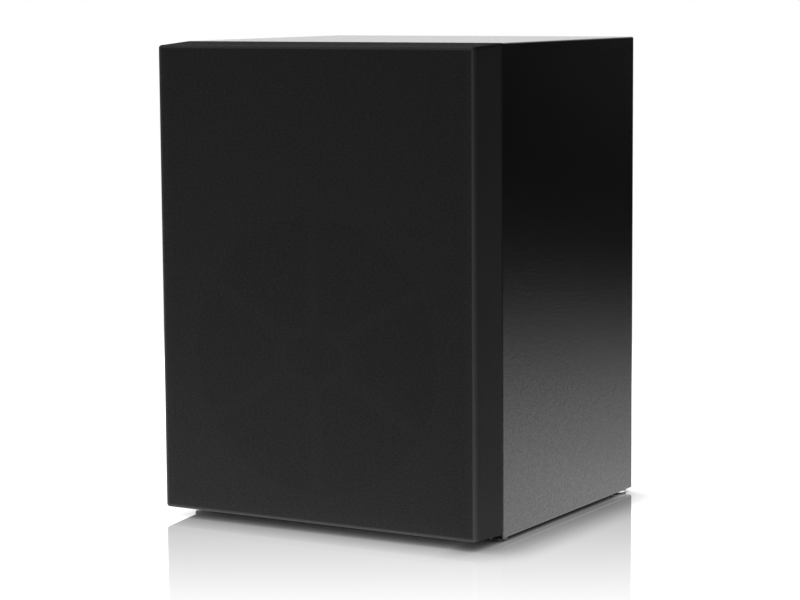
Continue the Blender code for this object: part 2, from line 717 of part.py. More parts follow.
def make_screws(prefix, places, origin, face, turn):
    """One screw at each place, its head on the face at that height above the origin."""
    forward = -1 if turn == FRONTWARDS else 1
    for number, (x, y) in enumerate(places, start=1):
        up = y if turn == FRONTWARDS else -y
        place = (origin[0] + x, origin[1] + forward * (face + GAP), origin[2] + up)
        name = f"{prefix}_screw_{number}"
        turned(name, screw_profile(), SCREW_BLACK, place, turn, SMALL_STEPS, ring=False)


# --- Tweeter ---
TWEETER_PLACE = (0.0, BAFFLE_FACE_Y, TWEETER_Z)


def tweeter_piece(name, profile, finish, steps=INNER_STEPS, ring=True):
    return turned(name, profile, finish, TWEETER_PLACE, FRONTWARDS, steps, ring)


def make_tweeter_face():
    face = GAP + FACEPLATE_THICKNESS
    profile = [
        (FACEPLATE_HORN_RADIUS, face),
        (TWEETER_RADIUS - FACEPLATE_THICKNESS / 3, face),
        (TWEETER_RADIUS, face - FACEPLATE_THICKNESS / 3),
        (TWEETER_RADIUS, GAP),
        (THROAT_RADIUS, GAP),
        (THROAT_RADIUS, GAP + FACEPLATE_THICKNESS / 3),
        (THROAT_RADIUS + DOME_LIP, GAP + FACEPLATE_THICKNESS / 2),
    ]
    plate = tweeter_piece("tweeter_faceplate", profile, ABS_BLACK, RING_STEPS)
    hole = SCREW_RADIUS + HOLE_CLEARANCE
    reach = 2 * FACEPLATE_THICKNESS
    holes = hole_cutter(
        "tweeter_screw_holes", TWEETER_SCREW_PLACES, hole, -reach, reach, TWEETER_PLACE, FRONTWARDS
    )
    combine(plate, holes)


def make_dome():
    """The moving dome with its coil, and the flexing ring round them."""
    count = 5
    turns = [math.pi / 2 * i / (count - 1) for i in range(count)]
    foot = DOME_CLOTH + GAP
    top = [(DOME_RADIUS * math.cos(t), foot + DOME_RISE * math.sin(t)) for t in turns]
    top[-1] = (0.0, top[-1][1])
    thin = DOME_CLOTH
    under = [(max(r - thin, 0.0), h - thin * math.sin(t)) for (r, h), t in zip(top, turns)]
    tweeter_piece("tweeter_dome", top[::-1] + under, SILK, ring=False)
    coil_outer = DOME_RADIUS
    coil = ring_section(
        coil_outer - TWEETER_COIL_WALL,
        coil_outer,
        foot - GAP,
        foot - GAP - TWEETER_COIL_LENGTH,
    )
    tweeter_piece("tweeter_voice_coil", coil, COPPER)
    inner = DOME_RADIUS + GAP
    outer = inner + DOME_SURROUND_WIDTH
    base = TWEETER_PLATE_HEIGHT + GAP
    middle = ((inner + outer) / 2, base + DOME_CLOTH)
    crown = arc(middle, DOME_SURROUND_WIDTH / 2, 180, 0, 5)
    profile = [*crown, (outer + DOME_LIP, base + DOME_CLOTH), (outer + DOME_LIP, base)]
    profile += [(outer - DOME_CLOTH, base), (inner + DOME_CLOTH, base)]
    tweeter_piece("tweeter_surround", profile, SILK)


def make_tweeter_motor():
    bore = DOME_RADIUS + GAP + DOME_CLOTH / 2
    pole = DOME_RADIUS - TWEETER_COIL_WALL - GAP
    top = TWEETER_PLATE_HEIGHT
    plate_back = top - TWEETER_PLATE
    magnet_back = plate_back - GAP - TWEETER_MAGNET
    radius = TWEETER_MAGNET_RADIUS
    plate = ring_section(bore, radius - GAP, top, plate_back)
    tweeter_piece("tweeter_top_plate", plate, ZINC)
    magnet = ring_section(bore + DOME_LIP, radius, plate_back - GAP, magnet_back)
    tweeter_piece("tweeter_magnet", magnet, FERRITE)
    yoke_top = magnet_back - GAP
    yoke = [
        (0.0, top + DOME_CLOTH),
        (pole, top + DOME_CLOTH),
        (pole, yoke_top),
        (radius - GAP, yoke_top),
        (radius - GAP, yoke_top - TWEETER_PLATE),
        (0.0, yoke_top - TWEETER_PLATE),
    ]
    tweeter_piece("tweeter_yoke", yoke, ZINC, ring=False)


# --- Grille ---
def grille_tray(name, inset, wall, finish):
    """An open-backed tray, narrower at its front by the draft, with rounded front edges.

    It is a box without its back, tapered, beveled round its front, with a wall inwards."""
    width = CABINET_WIDTH - 2 * inset
    height = CABINET_HEIGHT - GRILLE_LIFT - 2 * inset
    depth = GRILLE_DEPTH - inset
    centre_z = CABINET_MID_Z + GRILLE_LIFT / 2
    back = GRILLE_FRONT_Y + GRILLE_DEPTH
    shape = bmesh.new()
    size = Matrix.Diagonal((width, depth, height, 1.0))
    bmesh.ops.create_cube(shape, size=1.0, matrix=size)
    back_faces = [face for face in shape.faces if face.normal.y > 0.5]
    bmesh.ops.delete(shape, geom=back_faces, context="FACES_ONLY")
    front = [corner for corner in shape.verts if corner.co.y < 0]
    for corner in front:
        corner.co.x -= math.copysign(GRILLE_SIDE_DRAFT, corner.co.x)
        corner.co.z -= math.copysign(GRILLE_END_DRAFT, corner.co.z)
    rim = [edge for edge in shape.edges if not edge.is_boundary]
    bmesh.ops.bevel(
        shape,
        geom=rim,
        offset=max(GRILLE_EDGE_RADIUS - inset, CLOTH),
        segments=2,
        profile=0.5,
        affect="EDGES",
    )
    mesh = bpy.data.meshes.new(name)
    shape.to_mesh(mesh)
    shape.free()
    tray = add(name, mesh, finish, (0.0, back - depth / 2, centre_z))
    solidify = tray.modifiers.new("wall", "SOLIDIFY")
    solidify.thickness = wall
    solidify.offset = -1.0
    solidify.use_even_offset = True
    return tray


def hub_point(turn):
    """Where a ray from the opening's centre leaves the hub's flattened ring."""
    flat_radius = HUB_HALF_WIDTH * HUB_HALF_HEIGHT
    across = HUB_HALF_HEIGHT * math.cos(turn)
    upwards = HUB_HALF_WIDTH * math.sin(turn)
    reach = flat_radius / math.hypot(across, upwards)
    return (reach * math.cos(turn), reach * math.sin(turn))


def spoke_openings():
    """Outlines of the openings between the spokes, one in the hub and one for the tweeter."""
    outlines = []
    step = 360 / SPOKE_COUNT
    outer_half = math.degrees(math.asin(SPOKE_WIDTH / 2 / GRILLE_OPENING_RADIUS))
    for i in range(SPOKE_COUNT):
        first = -90 + i * step
        outward = arc(
            (0.0, 0.0), GRILLE_OPENING_RADIUS, first + outer_half, first + step - outer_half, 7
        )
        turns = [math.radians(first + step * share) for share in HUB_CORNER_SHARES]
        outlines.append(outward + [hub_point(turn) for turn in turns])
    shrink = 1 - HUB_RIM / HUB_HALF_HEIGHT
    hub = [hub_point(2 * math.pi * i / 12) for i in range(12)]
    outlines.append([(x * shrink, y * shrink) for x, y in hub])
    rise = TWEETER_Z - WOOFER_Z
    outlines.append(circle(TWEETER_OPENING_RADIUS, (0.0, rise), INNER_STEPS))
    return outlines


def make_grille():
    grille_tray("grille_cloth", 0.0, CLOTH, CLOTH_BLACK)
    frame = grille_tray("grille_frame", CLOTH + GAP, FRAME_WALL, ABS_BLACK)
    front = GRILLE_FRONT_Y + CLOTH + GAP
    openings = flat(
        "grille_openings",
        spoke_openings(),
        4 * FRAME_WALL,
        ABS_BLACK,
        (0.0, front, WOOFER_Z),
        FRONTWARDS,
        cutter=True,
    )
    combine(frame, openings)
    plate_back = front + FRAME_WALL
    post_end = BAFFLE_FACE_Y - CUP_RIM - GAP
    sunk = FRAME_WALL / 2
    post = [
        (0.0, sunk),
        (POST_RADIUS, sunk),
        (POST_RADIUS, plate_back - post_end),
        (PEG_RADIUS, plate_back - post_end),
        (PEG_RADIUS, plate_back - post_end - PEG_LENGTH + PEG_RADIUS / 2),
        (PEG_RADIUS / 2, plate_back - post_end - PEG_LENGTH),
        (0.0, plate_back - post_end - PEG_LENGTH),
    ]
    for number, (x, y) in enumerate(PEG_PLACES, start=1):
        place = (x, plate_back, CABINET_MID_Z + y)
        shape = turned(
            f"peg_post_{number}", post, None, place, FRONTWARDS, SMALL_STEPS, False, cutter=True
        )
        combine(frame, shape, "UNION")


def make_peg_cups():
    """Rubber sockets in the baffle that grip the grille's pegs."""
    profile = [
        (CUP_OUTER + CUP_FLANGE, CUP_RIM),
        (CUP_OUTER + CUP_FLANGE, GAP),
        (CUP_OUTER, GAP),
        (CUP_OUTER, -CUP_DEPTH),
        (CUP_BORE, -CUP_DEPTH),
        (CUP_BORE, CUP_RIM),
    ]
    for number, (x, y) in enumerate(PEG_PLACES, start=1):
        place = (x, BAFFLE_FACE_Y, CABINET_MID_Z + y)
        turned(f"peg_cup_{number}", profile, RUBBER_BLACK, place, FRONTWARDS, SMALL_STEPS)


# --- Rear fittings ---
def make_port():
    """A tube flared into a flange on the rear panel."""
    place = (0.0, REAR_FACE_Y, PORT_Z)
    face = GAP + PORT_WALL
    flare = arc((PORT_RADIUS + PORT_FLARE, face - PORT_FLARE), PORT_FLARE, 180, 90, 4)
    mouth = PORT_RADIUS + PORT_FLARE
    profile = [
        (PORT_RADIUS, -PORT_LENGTH),
        *flare,
        (mouth + PORT_FLANGE, face),
        (mouth + PORT_FLANGE, GAP),
        (mouth, GAP),
        (PORT_RADIUS + PORT_WALL, face - PORT_FLARE),
        (PORT_RADIUS + PORT_WALL, -PORT_LENGTH),
    ]
    turned("port_tube", profile, ABS_BLACK, place, BACKWARDS, INNER_STEPS)


def dish_surface(name, sections):
    """A loft through outlines with equal counts of points, closed by a floor at the last one."""
    shape = bmesh.new()
    rings = []
    for outline, height in sections:
        rings.append([shape.verts.new((x, y, height)) for x, y in outline])
    for upper, lower in zip(rings, rings[1:]):
        for i, corner in enumerate(upper):
            j = (i + 1) % len(upper)
            shape.faces.new((corner, upper[j], lower[j], lower[i]))
    shape.faces.new(rings[-1])
    bmesh.ops.recalc_face_normals(shape, faces=shape.faces)
    mesh = bpy.data.meshes.new(name)
    shape.to_mesh(mesh)
    shape.free()
    return mesh


def make_terminal_cup():
    """A dish whose border lies on the rear panel and whose floor carries the two posts."""
    place = (0.0, REAR_FACE_Y + GAP + CUP_SHELL, FOOT_HEIGHT + TERMINAL_HEIGHT)
    recess = CUP_RECESS + CUP_SHELL + GAP
    width = CUP_MOUTH_WIDTH - 2 * CUP_SHELL
    height = CUP_MOUTH_HEIGHT - 2 * CUP_SHELL
    border = rounded_rectangle(
        CUP_MOUTH_WIDTH + 2 * CUP_BORDER, CUP_MOUTH_HEIGHT + 2 * CUP_BORDER, CUP_CORNER
    )
    mouth = rounded_rectangle(width, height, CUP_CORNER)
    floor = rounded_rectangle(width - 2 * CUP_DRAFT, height - 2 * CUP_DRAFT, CUP_CORNER)
    mesh = dish_surface("terminal_cup", [(border, 0.0), (mouth, 0.0), (floor, -recess)])
    cup = add("terminal_cup", mesh, ABS_BLACK, place, BACKWARDS)
    solidify = cup.modifiers.new("wall", "SOLIDIFY")
    solidify.thickness = CUP_SHELL
    solidify.offset = -1.0
    solidify.use_even_offset = True
    posts = [(side * POST_SPACING / 2, 0.0) for side in (-1, 1)]
    hole = STUD_RADIUS + HOLE_CLEARANCE
    reach = recess + 3 * CUP_SHELL
    combine(cup, hole_cutter("post_holes", posts, hole, -reach, 0.0, place, BACKWARDS))
    hole = SCREW_RADIUS + HOLE_CLEARANCE
    reach = 3 * CUP_SHELL
    places = terminal_screw_places()
    holes = hole_cutter("cup_screw_holes", places, hole, -reach, reach, place, BACKWARDS)
    combine(cup, holes)


def knob_outline():
    """A round knob with shallow flutes."""
    points = []
    for i in range(2 * KNOB_FLUTES):
        radius = KNOB_RADIUS - (KNOB_FLUTE_DEPTH if i % 2 else 0.0)
        turn = math.pi * i / KNOB_FLUTES
        points.append((radius * math.cos(turn), radius * math.sin(turn)))
    return points


def make_binding_post(side, colour_name, finish):
    """The fixed stud, the collar that slides on it and the knob that screws along it."""
    place = (side * POST_SPACING / 2, POST_FLOOR_Y, FOOT_HEIGHT + TERMINAL_HEIGHT)
    flange = GAP + STUD_FLANGE
    under = -CUP_SHELL - GAP
    stud = [
        (0.0, STUD_LENGTH),
        (STUD_RADIUS, STUD_LENGTH),
        (STUD_RADIUS, flange),
        (STUD_FLANGE_RADIUS, flange),
        (STUD_FLANGE_RADIUS, GAP),
        (STUD_RADIUS, GAP),
        (STUD_RADIUS, under),
        (STUD_FLANGE_RADIUS, under),
        (STUD_FLANGE_RADIUS, under - NUT_THICKNESS),
        (STUD_RADIUS, under - NUT_THICKNESS),
        (STUD_RADIUS, under - STUD_TAIL),
        (0.0, under - STUD_TAIL),
    ]
    turned(f"post_stud_{colour_name}", stud, GOLD, place, BACKWARDS, SMALL_STEPS, ring=False)
    bore = STUD_RADIUS + HOLE_CLEARANCE
    collar_foot = flange + GAP
    collar_top = collar_foot + COLLAR_THICKNESS
    collar = ring_section(bore, STUD_FLANGE_RADIUS, collar_top, collar_foot)
    turned(f"post_collar_{colour_name}", collar, GOLD, place, BACKWARDS, SMALL_STEPS)
    knob_middle = POST_FLOOR_Y + collar_top + GAP + KNOB_LENGTH / 2
    knob_place = (place[0], knob_middle, place[2])
    outlines = [knob_outline(), circle(bore, count=SMALL_STEPS)]
    flat(f"post_knob_{colour_name}", outlines, KNOB_LENGTH, finish, knob_place, BACKWARDS)


# --- Inside ---
BOARD_PLACE = (
    0.0,
    REAR_INNER_Y - BOARD_BACK_MARGIN - BOARD_DEPTH / 2,
    FOOT_HEIGHT + PANEL + GAP + BOARD_THICKNESS / 2,
)


def make_crossover():
    """The filter board on the cabinet's floor, with its coil and capacitor."""
    size = (BOARD_WIDTH, BOARD_DEPTH, BOARD_THICKNESS)
    block("crossover_board", size, BOARD_PLACE, CIRCUIT)
    top = BOARD_PLACE[2] + BOARD_THICKNESS / 2 + GAP
    coil = ring_section(INDUCTOR_BORE, INDUCTOR_RADIUS, INDUCTOR_HEIGHT, 0.0)
    coil_place = (INDUCTOR_RADIUS - BOARD_WIDTH / 2 + CONE_LAND, BOARD_PLACE[1], top)
    turned("crossover_inductor", coil, COPPER, coil_place, UPRIGHT, INNER_STEPS)
    half = CAPACITOR_LENGTH / 2
    can = [(0.0, half), (CAPACITOR_RADIUS, half), (CAPACITOR_RADIUS, -half), (0.0, -half)]
    can_x = BOARD_WIDTH / 2 - CAPACITOR_RADIUS - CONE_LAND
    can_place = (can_x, BOARD_PLACE[1], top + CAPACITOR_RADIUS)
    turned("crossover_capacitor", can, FILM, can_place, FRONTWARDS, SMALL_STEPS, ring=False)


def make_wadding():
    """A polyester pad under the top panel, in front of the port."""
    depth = REAR_INNER_Y - BAFFLE_BACK_Y - 2 * WADDING_EDGE
    z = CABINET_TOP - PANEL - GAP - WADDING_THICKNESS / 2
    size = (WADDING_WIDTH, depth, WADDING_THICKNESS)
    block("wadding", size, (0.0, (REAR_INNER_Y + BAFFLE_BACK_Y) / 2, z), FLEECE)


def smooth_route(points, count):
    """Points on one smooth curve through the route's own points."""
    route = [Vector(p) for p in points]
    padded = [2 * route[0] - route[1], *route, 2 * route[-1] - route[-2]]
    spans = len(route) - 1
    made = []
    for i in range(count):
        along = min(i / (count - 1) * spans, spans - 1e-6)
        k = int(along)
        t = along - k
        a, b, c, d = padded[k : k + 4]
        made.append(
            0.5 * (2 * b + (c - a) * t + (2 * a - 5 * b + 4 * c - d) * t**2
                   + (3 * b - a - 3 * c + d) * t**3)
        )
    return made


def make_woofer_lead():
    """The twin lead from the crossover board up to the woofer's tag strip."""
    start_z = BOARD_PLACE[2] + BOARD_THICKNESS / 2 + 2 * LEAD_RADIUS
    front_edge = BOARD_PLACE[1] - BOARD_DEPTH / 2
    end_z = TERMINAL_Z - TERMINAL_SIZE[1] / 2 - GAP
    rise = end_z - start_z
    back_y = TERMINAL_Y + TERMINAL_SIZE[2] / 2
    route = [
        (0.0, front_edge + LEAD_ON_BOARD[0], start_z),
        (0.0, front_edge + LEAD_ON_BOARD[1], start_z),
        (0.0, (front_edge + TERMINAL_Y) / 2, start_z + LEAD_RISE_SHARES[0] * rise),
        (0.0, back_y - LEAD_SET_BACK, start_z + LEAD_RISE_SHARES[1] * rise),
        (0.0, TERMINAL_Y, end_z),
    ]
    curve = bpy.data.curves.new("woofer_lead", "CURVE")
    curve.dimensions = "3D"
    curve.bevel_depth = LEAD_RADIUS
    curve.bevel_resolution = 2
    curve.use_fill_caps = True
    points = smooth_route(route, 14)
    spline = curve.splines.new("POLY")
    spline.points.add(len(points) - 1)
    for point, place in zip(spline.points, points):
        point.co = (*place, 1.0)
    meshed(add("woofer_lead", curve, WIRE_RED))


make_wrap()
make_baffle()
make_rear_panel()
make_feet()
make_basket()
make_surround()
make_moving_parts()
make_spider()
make_motor()
make_woofer_terminal()
make_screws("woofer", WOOFER_SCREW_PLACES, WOOFER_PLACE, GAP + FLANGE_STEEL, FRONTWARDS)
make_tweeter_face()
make_dome()
make_tweeter_motor()
TWEETER_FACE = GAP + FACEPLATE_THICKNESS
make_screws("tweeter", TWEETER_SCREW_PLACES, TWEETER_PLACE, TWEETER_FACE, FRONTWARDS)
make_grille()
make_peg_cups()
make_port()
make_terminal_cup()
CUP_FACE = (0.0, REAR_FACE_Y, FOOT_HEIGHT + TERMINAL_HEIGHT)
make_screws("terminal", terminal_screw_places(), CUP_FACE, GAP + CUP_SHELL, BACKWARDS)
make_binding_post(-1, "black", KNOB_BLACK)
make_binding_post(1, "red", KNOB_RED)
make_crossover()
make_wadding()
make_woofer_lead()
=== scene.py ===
"""Bookshelf loudspeaker: finished surfaces for every piece, and a plain studio round it.

Metres, +Z up, the grille faces -Y, and the origin is on the shelf, under the middle.
"""

import json
import math

import bmesh
import bpy
import numpy as np
from bpy.props import FloatProperty, FloatVectorProperty, IntProperty, PointerProperty
from mathutils import Matrix, Vector


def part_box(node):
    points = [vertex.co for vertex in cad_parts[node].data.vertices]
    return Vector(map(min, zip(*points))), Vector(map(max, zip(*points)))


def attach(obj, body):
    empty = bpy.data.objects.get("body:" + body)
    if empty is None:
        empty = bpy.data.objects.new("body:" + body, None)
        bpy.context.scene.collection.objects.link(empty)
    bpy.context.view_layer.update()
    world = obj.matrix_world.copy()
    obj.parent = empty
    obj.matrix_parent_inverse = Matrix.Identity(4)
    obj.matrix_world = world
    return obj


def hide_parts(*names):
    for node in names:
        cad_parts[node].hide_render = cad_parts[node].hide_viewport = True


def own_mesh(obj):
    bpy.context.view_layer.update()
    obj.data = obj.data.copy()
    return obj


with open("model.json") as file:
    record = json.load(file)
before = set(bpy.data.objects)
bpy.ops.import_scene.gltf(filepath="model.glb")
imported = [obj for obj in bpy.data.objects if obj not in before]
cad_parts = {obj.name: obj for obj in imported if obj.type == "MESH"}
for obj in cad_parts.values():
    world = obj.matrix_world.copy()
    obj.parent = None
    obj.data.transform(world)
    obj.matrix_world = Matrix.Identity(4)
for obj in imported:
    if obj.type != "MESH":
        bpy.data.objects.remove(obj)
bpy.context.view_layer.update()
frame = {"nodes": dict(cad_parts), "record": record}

bl_info = {
    "name": "Bookshelf Loudspeaker",
    "version": (1, 0, 0),
    "blender": (4, 5, 0),
    "location": "3D View > Sidebar > Speaker",
    "description": "Finished surfaces for a two-way bookshelf loudspeaker",
    "category": "Object",
}

MM = 0.001
RECORD = frame["record"]
BODY_OF = {n: b for b, nodes in RECORD["behaviour"]["bodies"].items() for n in nodes}
SLOT_OF = {part["node"]: part["material_slot"] for part in RECORD["subparts"]}
TURN = 2 * math.pi
SHARP = math.radians(38)  # a sharper edge than this is shaded as an edge
CORNER_POINTS = 7  # points that an eased corner is drawn with
WELD = 2e-6  # points closer than this are one
SLIVER = 1e-7
HAIR = 0.02 * MM  # a point this near a plane lies in it
SPOKES = 6  # in the grille frame, and the ribs of the woofer's basket


# --- Sizes and colours that a user would change ---
def length(name, description, millimetres):
    return FloatProperty(
        name=name, description=description, default=millimetres * MM, min=0.0, unit="LENGTH"
    )


def colour(name, description, red, green, blue):
    return FloatVectorProperty(
        name=name,
        description=description,
        default=(red, green, blue),
        subtype="COLOR",
        min=0.0,
        max=1.0,
    )


class SpeakerSizes(bpy.types.PropertyGroup):
    wall: length("Cabinet wall", "Thickness of the wrapped panels", 15)
    corner: length("Cabinet corner", "Radius along the four long edges", 1.3)
    rim: length("Cabinet rim", "Radius round the front and back edges", 1.0)
    cloth: length("Cloth", "Thickness of the grille cloth", 0.5)
    cloth_corner: length("Cloth corner", "Radius of the grille's four corners", 2.2)
    cloth_edge: length("Cloth edge", "Radius round the grille's front", 1.0)
    cloth_turn: length("Cloth turn-in", "Width of cloth folded behind the frame", 9)
    thread: length("Thread", "Distance between threads of the grille cloth", 0.55)
    opening: length("Frame opening", "Radius of the frame's round opening", 93)
    recess: length("Screw recess", "Depth of the cross in the screw heads", 1.1)
    flute: length("Knob flute", "Depth of the flutes in the knobs", 0.55)
    shell: length("Terminal cup wall", "Thickness of the terminal cup", 2.4)
    border: length("Terminal cup border", "Width of the terminal cup's flat border", 9)
    facets: IntProperty(
        name="Facets", description="Steps round a large turned piece", default=128, min=24
    )


class SpeakerColours(bpy.types.PropertyGroup):
    vinyl: colour("Vinyl", "Cabinet skin", 0.0034, 0.0036, 0.0035)
    board: colour("Board", "Painted baffle", 0.020, 0.019, 0.018)
    cloth: colour("Cloth", "Grille cloth", 0.0222, 0.0222, 0.0220)
    moulding: colour("Moulding", "Black moulded plastic", 0.016, 0.016, 0.017)
    steel: colour("Painted steel", "Woofer basket", 0.022, 0.022, 0.023)
    rubber: colour("Rubber", "Surround, gasket and peg cups", 0.013, 0.013, 0.014)
    paper: colour("Paper", "Cone and dust cap", 0.024, 0.023, 0.022)
    silk: colour("Silk", "Tweeter dome", 0.030, 0.027, 0.025)
    ferrite: colour("Ferrite", "Magnets", 0.050, 0.050, 0.055)
    zinc: colour("Zinc", "Plated steel", 0.36, 0.36, 0.35)
    copper: colour("Copper", "Enamelled wire", 0.72, 0.30, 0.13)
    gold: colour("Gold", "Plated binding posts", 0.85, 0.62, 0.26)
    red: colour("Red", "Positive knob", 0.48, 0.012, 0.014)
    amber: colour("Amber", "Former and spider", 0.50, 0.30, 0.10)
    green: colour("Green", "Circuit board", 0.035, 0.12, 0.045)
    yellow: colour("Yellow", "Capacitor wrap", 0.72, 0.50, 0.08)
    white: colour("White", "Wadding", 0.82, 0.82, 0.80)


# --- Materials ---
FINISHES = {}


class Nodes:
    """A node tree under way, with short calls for the usual nodes."""

    def __init__(self, tree, coordinates):
        self.tree = tree
        self.place = self.node("TexCoord").outputs[coordinates]

    def node(self, kind, **values):
        made = self.tree.nodes.new("ShaderNode" + kind)
        for key, value in values.items():
            setattr(made, key, value)
        return made

    def link(self, value, socket):
        """Set a plain number on the socket, or run a link to it."""
        if isinstance(value, (int, float)):
            socket.default_value = value
        else:
            self.tree.links.new(value, socket)

    def math(self, operation, first, second=0.0):
        made = self.node("Math", operation=operation)
        self.link(first, made.inputs[0])
        self.link(second, made.inputs[1])
        return made.outputs[0]

    def product(self, first, *others):
        for value in others:
            first = self.math("MULTIPLY", first, value)
        return first

    def total(self, first, *others):
        for value in others:
            first = self.math("ADD", first, value)
        return first

    def hypot(self, first, second):
        return self.math(
            "SQRT", self.total(self.math("POWER", first, 2.0), self.math("POWER", second, 2.0))
        )

    def wave(self, value, pitch):
        """sin(2 pi value / pitch)."""
        return self.math("SINE", self.product(value, TURN / pitch))

    def along(self, axis):
        parts = self.node("SeparateXYZ")
        self.link(self.place, parts.inputs[0])
        return parts.outputs[axis]

    def away(self, axis):
        """Distance from the middle along an axis."""
        return self.math("ABSOLUTE", self.along(axis))

    def noise(self, scale, detail=3.0, roughness=0.55, place=None):
        made = self.node("TexNoise")
        made.inputs["Scale"].default_value = scale
        made.inputs["Detail"].default_value = detail
        made.inputs["Roughness"].default_value = roughness
        self.link(place or self.place, made.inputs["Vector"])
        return made.outputs["Fac"]

    def cells(self, scale):
        made = self.node("TexVoronoi")
        made.inputs["Scale"].default_value = scale
        self.link(self.place, made.inputs["Vector"])
        return made.outputs["Distance"]

    def span(self, value, low, high, start=0.0, end=1.0, smooth=False):
        """low up to start, high from end on, and even or smooth steps between them."""
        made = self.node("MapRange", interpolation_type="SMOOTHSTEP" if smooth else "LINEAR")
        for number, socket in zip((start, end, low, high), list(made.inputs)[1:5]):
            socket.default_value = number
        self.link(value, made.inputs[0])
        return made.outputs[0]

    def blend(self, share, first, second):
        """The first shader at share 0 and the second at 1."""
        mix = self.node("MixShader")
        for value, socket in zip((share, first.outputs[0], second.outputs[0]), mix.inputs):
            self.link(value, socket)
        return mix

    def finish(self, shader, kind):
        """Send the shader to the tree's Material or World output."""
        self.link(shader.outputs[0], self.node("Output" + kind).inputs["Surface"])


class Finish(Nodes):
    """A material under way, with its Principled shader."""

    def __init__(self, name, base, roughness, metallic=0.0, **sockets):
        self.material = bpy.data.materials.new(name)
        self.material.use_nodes = True
        super().__init__(self.material.node_tree, "Object")
        self.shader = self.tree.nodes["Principled BSDF"]
        self.base = tuple(base)
        self.shader.inputs["Base Color"].default_value = (*self.base, 1.0)
        self.shader.inputs["Roughness"].default_value = roughness
        self.shader.inputs["Metallic"].default_value = metallic
        for socket, value in sockets.items():
            self.shader.inputs[socket.replace("_", " ")].default_value = value

    def paint(self, share, low, high):
        self.link(mix_colour(self, share, low, high), self.shader.inputs["Base Color"])

    def rough(self, share, low, high):
        self.link(self.span(share, low, high), self.shader.inputs["Roughness"])

    def bumps(self, *layers):
        """Stack (height, distance) layers into one normal."""
        normal = None
        for height, distance in layers:
            made = self.node("Bump")
            made.inputs["Strength"].default_value = 1.0
            made.inputs["Distance"].default_value = distance
            self.link(height, made.inputs["Height"])
            if normal is not None:
                self.link(normal, made.inputs["Normal"])
            normal = made.outputs[0]
        self.link(normal, self.shader.inputs["Normal"])
        return self


def mix_colour(finish, share, low, high, base=None):
    """A colour times low at share 0 and times high at 1; without one, the finish's own."""
    mix = finish.node("Mix", data_type="RGBA", clamp_factor=False)
    r, g, b = base or finish.base
    colours = [s for s in mix.inputs if s.type == "RGBA"]
    colours[0].default_value = (r * low, g * low, b * low, 1.0)
    colours[1].default_value = (r * high, g * high, b * high, 1.0)
    finish.link(share, mix.inputs[0])
    return [s for s in mix.outputs if s.type == "RGBA"][0]


def vinyl_finish(c):
    """Black film with a fine pebble, satin, a little uneven in gloss."""
    f = Finish("wrapped_vinyl", c.vinyl, 0.2, Specular_IOR_Level=0.68)
    pebble = f.cells(900)
    grain = f.noise(720, 3, 0.6)
    speck = f.span(grain, 0.0, 1.0, 0.36, 0.64)
    pale = (0.97, 1.0, 0.98)
    f.paint(speck, 0.4, 2.6)
    f.link(mix_colour(f, speck, 0.5, 1.0, pale), f.shader.inputs["Specular Tint"])
    f.rough(f.noise(600, 2, 0.7), 0.15, 0.29)
    return f.bumps((pebble, 0.04 * MM), (grain, 0.1 * MM))


def board_finish(c):
    """Fibreboard under thin matt paint."""
    f = Finish("sprayed_board", c.board, 0.72)
    fibre = f.noise(900, 4)
    f.paint(f.noise(25), 0.85, 1.15)
    f.rough(fibre, 0.62, 0.82)
    return f.bumps((fibre, 0.15 * MM))


def frame_behind(f, s):
    """How far the frame backs the cloth: its plate, and more faintly its spokes and hub.

    The hub is the oval (x / a)^2 + (z / b)^2 = 1, and a spoke stands at each sixth of a turn."""
    hub_width, hub_height, hub_middle = 31 * MM, 20 * MM, 0.87
    level = f.math("SUBTRACT", f.along(2), WOOFER_Z)
    reach = f.hypot(f.along(0), level)
    plate = f.span(reach, 0.0, 1.0, s.opening - 2 * MM, s.opening + 2 * MM, smooth=True)
    half_step = TURN / SPOKES / 2
    turn = f.total(f.math("ARCTAN2", level, f.along(0)), 2.5 * math.pi + half_step)
    from_spoke = f.math("SUBTRACT", f.math("MODULO", turn, 2 * half_step), half_step)
    aside = f.product(f.math("ABSOLUTE", f.math("SINE", from_spoke)), reach)
    oval = f.hypot(
        f.math("DIVIDE", f.along(0), hub_width), f.math("DIVIDE", level, hub_height)
    )
    outside_hub = f.span(oval, 0.0, 1.0, 0.75, 0.95, smooth=True)
    spokes = f.product(f.span(aside, 1.0, 0.0, 3 * MM, 6 * MM, smooth=True), outside_hub)
    from_rim = f.math("ABSOLUTE", f.math("SUBTRACT", oval, hub_middle))
    rim = f.span(from_rim, 1.0, 0.0, 0.10, 0.22, smooth=True)
    return f.math("MAXIMUM", plate, f.product(f.math("MAXIMUM", spokes, rim), 0.8))


